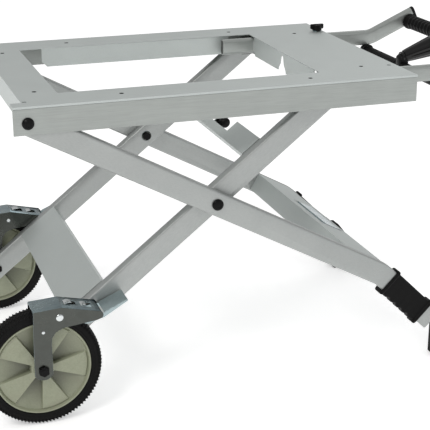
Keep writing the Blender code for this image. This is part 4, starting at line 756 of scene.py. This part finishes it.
def bolts(side):
    """Heads, washer and nuts on one side's hinge bolt, pivot bolt and wheel axle."""
    out = OUTWARD[side]
    hinge, pivot = side + "_hinge_bolt", side + "_pivot_bolt"
    low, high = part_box(hinge)
    seat = on_axis(hinge, outer_y(hinge, side)) - out * 0.0058
    button_head(side + "_hinge_head", seat, out, (high.x - low.x) / 2, 0.0056, "top_frame")
    seat = on_axis(pivot, outer_y(pivot, side)) - out * 0.0047
    button_head(side + "_pivot_head", seat, out, 0.0122, 0.0046, "outer_legs")
    bolt_end = on_axis(pivot, inner_y(pivot, side))
    washer(side + "_pivot_washer", bolt_end + out * 0.0080, -out, 0.0063, 0.0125, 0.0016, "outer_legs")
    hex_nut(side + "_pivot_nut", bolt_end + out * 0.0063, -out, 0.0170, 0.0048, "outer_legs", 0.0052)
    seat = on_axis("rim_" + side, outer_y("wheel_axle_" + side, side)) - out * 0.0075
    hex_nut("axle_nut_" + side, seat, out, 0.0200, 0.0058, "inner_legs", 0.0058)


def dome(name, seat, outward, radius, height, shank, body, stands_for=()):
    """Snapped rivet head with its shank."""
    pin = radius * 0.5
    stations = [(0.0, -shank), (pin, -shank), (pin, 0.0003), (radius * 0.97, 0.0003),
                (radius, height * 0.30)]
    stations += [(radius * math.cos(a), height * (0.30 + 0.70 * math.sin(a)))
                 for a in (math.radians(d) for d in (20, 40, 55, 70, 82))]
    shape = spin(stations + [(0.0, height)], seat, outward, even(32))
    finish_piece(name, shape, RIVET_STEEL, body, stands_for)


RIVET_RISE = 0.0022
# The fork's top falls by 19 mm over 79.5 mm; its near end lies here from the axle.
FORK_TILT = math.atan2(0.019, 0.0795)
FORK_TOP = Vector((0.0430, 0, 0.1345))
# Each lip: where it starts along the top, how long it is and how high it rises.
LIPS = ((0.0080, 0.0150, 0.0046), (0.0435, 0.0100, 0.0030))


def fork_details(side):
    """The two rivets on the outer cheek, and the lips pressed up beside the windows of the fork's top."""
    out = OUTWARD[side]
    face = outer_y("fork_" + side, side)
    body = nodes["fork_" + side]["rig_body"]
    axle = middle("rim_" + side)
    name = "brake_rivet_%s_outer" % side
    low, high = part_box(name)
    shank = (high.y - low.y) - RIVET_RISE
    dome("rivet_head_" + side, on_axis(name, face), out, (high.x - low.x) / 2, RIVET_RISE, shank,
         body, [name])
    small = Vector((axle.x + 0.0025, face, axle.z + 0.085))
    dome("small_rivet_" + side, small, out, 0.0034, 0.0014, 0.0010, body)
    along = Vector((math.cos(FORK_TILT), 0, -math.sin(FORK_TILT)))
    up = Vector((math.sin(FORK_TILT), 0, math.cos(FORK_TILT)))
    top = axle + FORK_TOP
    for index, (start, reach, rise) in enumerate(LIPS):
        rings = []
        for step in range(9):
            share = step / 8
            height = rise * math.sin(share * math.pi * 0.62) - 0.0006
            place = top + along * (start + reach * share) + up * height
            half = 0.0105 - 0.0035 * share ** 2
            rings.append(rounded_ring(place, ACROSS, up, half, -0.0009, 0.0009, 0.0007))
        finish_piece("pressed_lip_%s_%d" % (side, index), loft(rings), RIVET_STEEL, body)


# Each hole: distance from the plate's near end, and from its side edge.
HOLES = ((0.063, 0.112), (0.777, 0.112), (0.225, 0.045), (0.630, 0.045))


def press_nuts():
    """Dark nuts pressed in under the sheet's holes, closed below against chips."""
    low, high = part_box("top_plate")
    for index, (x, inset) in enumerate(HOLES):
        for side, y in (("front", low.y + inset), ("rear", high.y - inset)):
            seat = Vector((low.x + x, y, high.z - 0.0021))
            stations = [(0.0, -0.0060), (0.0065, -0.0060), (0.0070, -0.0055), (0.0070, 0.0), (0.0048, 0.0),
                        (0.0048, 0.0019), (0.0043, 0.0019), (0.0043, -0.0048), (0.0, -0.0050)]
            shape = spin(stations, seat, UP, even(24))
            name = "press_nut_%s_%d" % (side, index)
            finish_piece(name, shape, BLACK_STEEL, "top_frame")


# Where each collar on the lever's bar starts and ends along y.
COLLARS = ((-0.1840, -0.1780), (-0.1740, -0.0230), (-0.0190, -0.0145),
           (0.0145, 0.0190), (0.0230, 0.1740), (0.1780, 0.1840))
COLLAR_BORE, SHORT_COLLAR, LONG_COLLAR = 0.0104, 0.0123, 0.0118


def lever_collars():
    """Rubber on the lever's bar: a collar at each ear and each side of the hub, and a sleeve between."""
    bar = joint_place("release_lever_press")
    for index, (start, end) in enumerate(COLLARS):
        radius = SHORT_COLLAR if end - start < 0.01 else LONG_COLLAR
        stations = [(COLLAR_BORE, start), (radius - 0.0006, start), (radius, start + 0.0006),
                    (radius, end - 0.0006), (radius - 0.0006, end), (COLLAR_BORE, end)]
        shape = spin(stations, Vector((bar.x, 0, bar.z)), ACROSS, even(40))
        finish_piece("bar_collar_%d" % index, shape, GRIP_RUBBER, "release_lever")


def lever_yoke():
    """Moulded hub between the bar and the grip, and the bearings that hang the bar under the tubes."""
    bar = joint_place("release_lever_press")
    steps = 12
    rings = []
    for i in range(steps + 1):
        share = i / steps
        bulge = math.sin(math.pi * share) ** 0.5
        place = Vector((bar.x, -0.0125 + 0.025 * share, bar.z))
        rings.append(rounded_ring(place, AHEAD, UP, 0.0095 + 0.0030 * bulge, -0.0120 - 0.0010 * bulge,
                                  0.0260 + 0.0030 * bulge, 0.0080))
    finish_piece("lever_yoke", loft(rings), BLACK_NYLON, "release_lever")
    for side in SIDES:
        wall = inner_y(side + "_handle_tube", side)
        rings = []
        for i in range(9):
            share = i / 8
            ease = 0.0018 * (abs(2 * share - 1) ** 6)
            place = Vector((bar.x, wall, bar.z)) + OUTWARD[side] * (0.0120 - 0.0145 * share)
            rings.append(rounded_ring(place, AHEAD, UP, 0.0155 - ease, -0.0155 + ease, 0.0135 - ease, 0.0090))
        finish_piece("bar_bearing_" + side, loft(rings), BLACK_NYLON, "handle")


for side in SIDES:
    bolts(side)
    fork_details(side)
lever_yoke()
press_nuts()
lever_collars()


# ---------------------------------------------------------------- studio
def studio():
    """White paper floor, three round lamps and a pale world that is dimmer near the horizon."""
    # Matt white paper sweep: pale, with a very faint mottle.
    paper = surface("white_paper_sweep", "F6F6F6", "FAFAFA", 30, rough=(0.9, 0.95), bump=0.0,
                    Emission_Color=linear("FFFFFF"), Emission_Strength=0.42)
    bpy.ops.mesh.primitive_plane_add(size=60, location=(0, 0, -0.0005))
    floor = bpy.context.active_object
    floor.name = "floor"
    floor.data.materials.append(paper)
    for name, place, size, power, colour in (
            ("key", (-2.4, -2.4, 3.4), 1.4, 58, "FFFDFA"),
            ("fill", (3.2, -2.6, 1.4), 2.4, 12, "F6FAFF"),
            ("back", (2.4, 3.2, 3.6), 2.4, 14, "FFFFFF")):
        lamp = bpy.data.lights.new(name, "AREA")
        lamp.shape = "DISK"
        lamp.size = size
        lamp.energy = power
        lamp.color = linear(colour)[:3]
        holder = bpy.data.objects.new(name, lamp)
        holder.location = place
        holder.rotation_euler = (Vector((0, 0, 0.4)) - Vector(place)).to_track_quat("-Z", "Y").to_euler()
        bpy.context.scene.collection.objects.link(holder)
    world = bpy.data.worlds.new("studio")
    world.use_nodes = True
    tree = world.node_tree
    place = add_node(tree, "ShaderNodeTexCoord")
    height = add_node(tree, "ShaderNodeSeparateXYZ", {0: place.outputs["Generated"]})
    sky = add_node(tree, "ShaderNodeMapRange", {0: height.outputs[2], 1: 0.0, 2: 0.6, 3: 0.34, 4: 0.66})
    background = tree.nodes["Background"]
    background.inputs["Color"].default_value = linear("FFFFFF")
    tree.links.new(sky.outputs[0], background.inputs["Strength"])
    bpy.context.scene.world = world
    bpy.context.scene.view_settings.view_transform = "Standard"


def camera():
    """Looks down a little from the front, placed from the top plate's near left corner."""
    low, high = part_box("top_plate")
    corner = Vector((low.x, low.y, high.z))
    azimuth, elevation = math.radians(-18.70), math.radians(19.69)
    back = Vector((math.sin(azimuth) * math.cos(elevation), -math.cos(azimuth) * math.cos(elevation),
                   math.sin(elevation)))
    view = bpy.data.cameras.new("camera")
    view.sensor_width = 36
    view.lens = 102.36
    view.clip_end = 100
    holder = bpy.data.objects.new("camera", view)
    holder.location = corner + Vector((-0.3567, -2.2511, 0.5889))
    holder.rotation_euler = (-back).to_track_quat("-Z", "Y").to_euler()
    bpy.context.scene.collection.objects.link(holder)
    bpy.context.scene.camera = holder


studio()
camera()
bpy.context.view_layer.update()
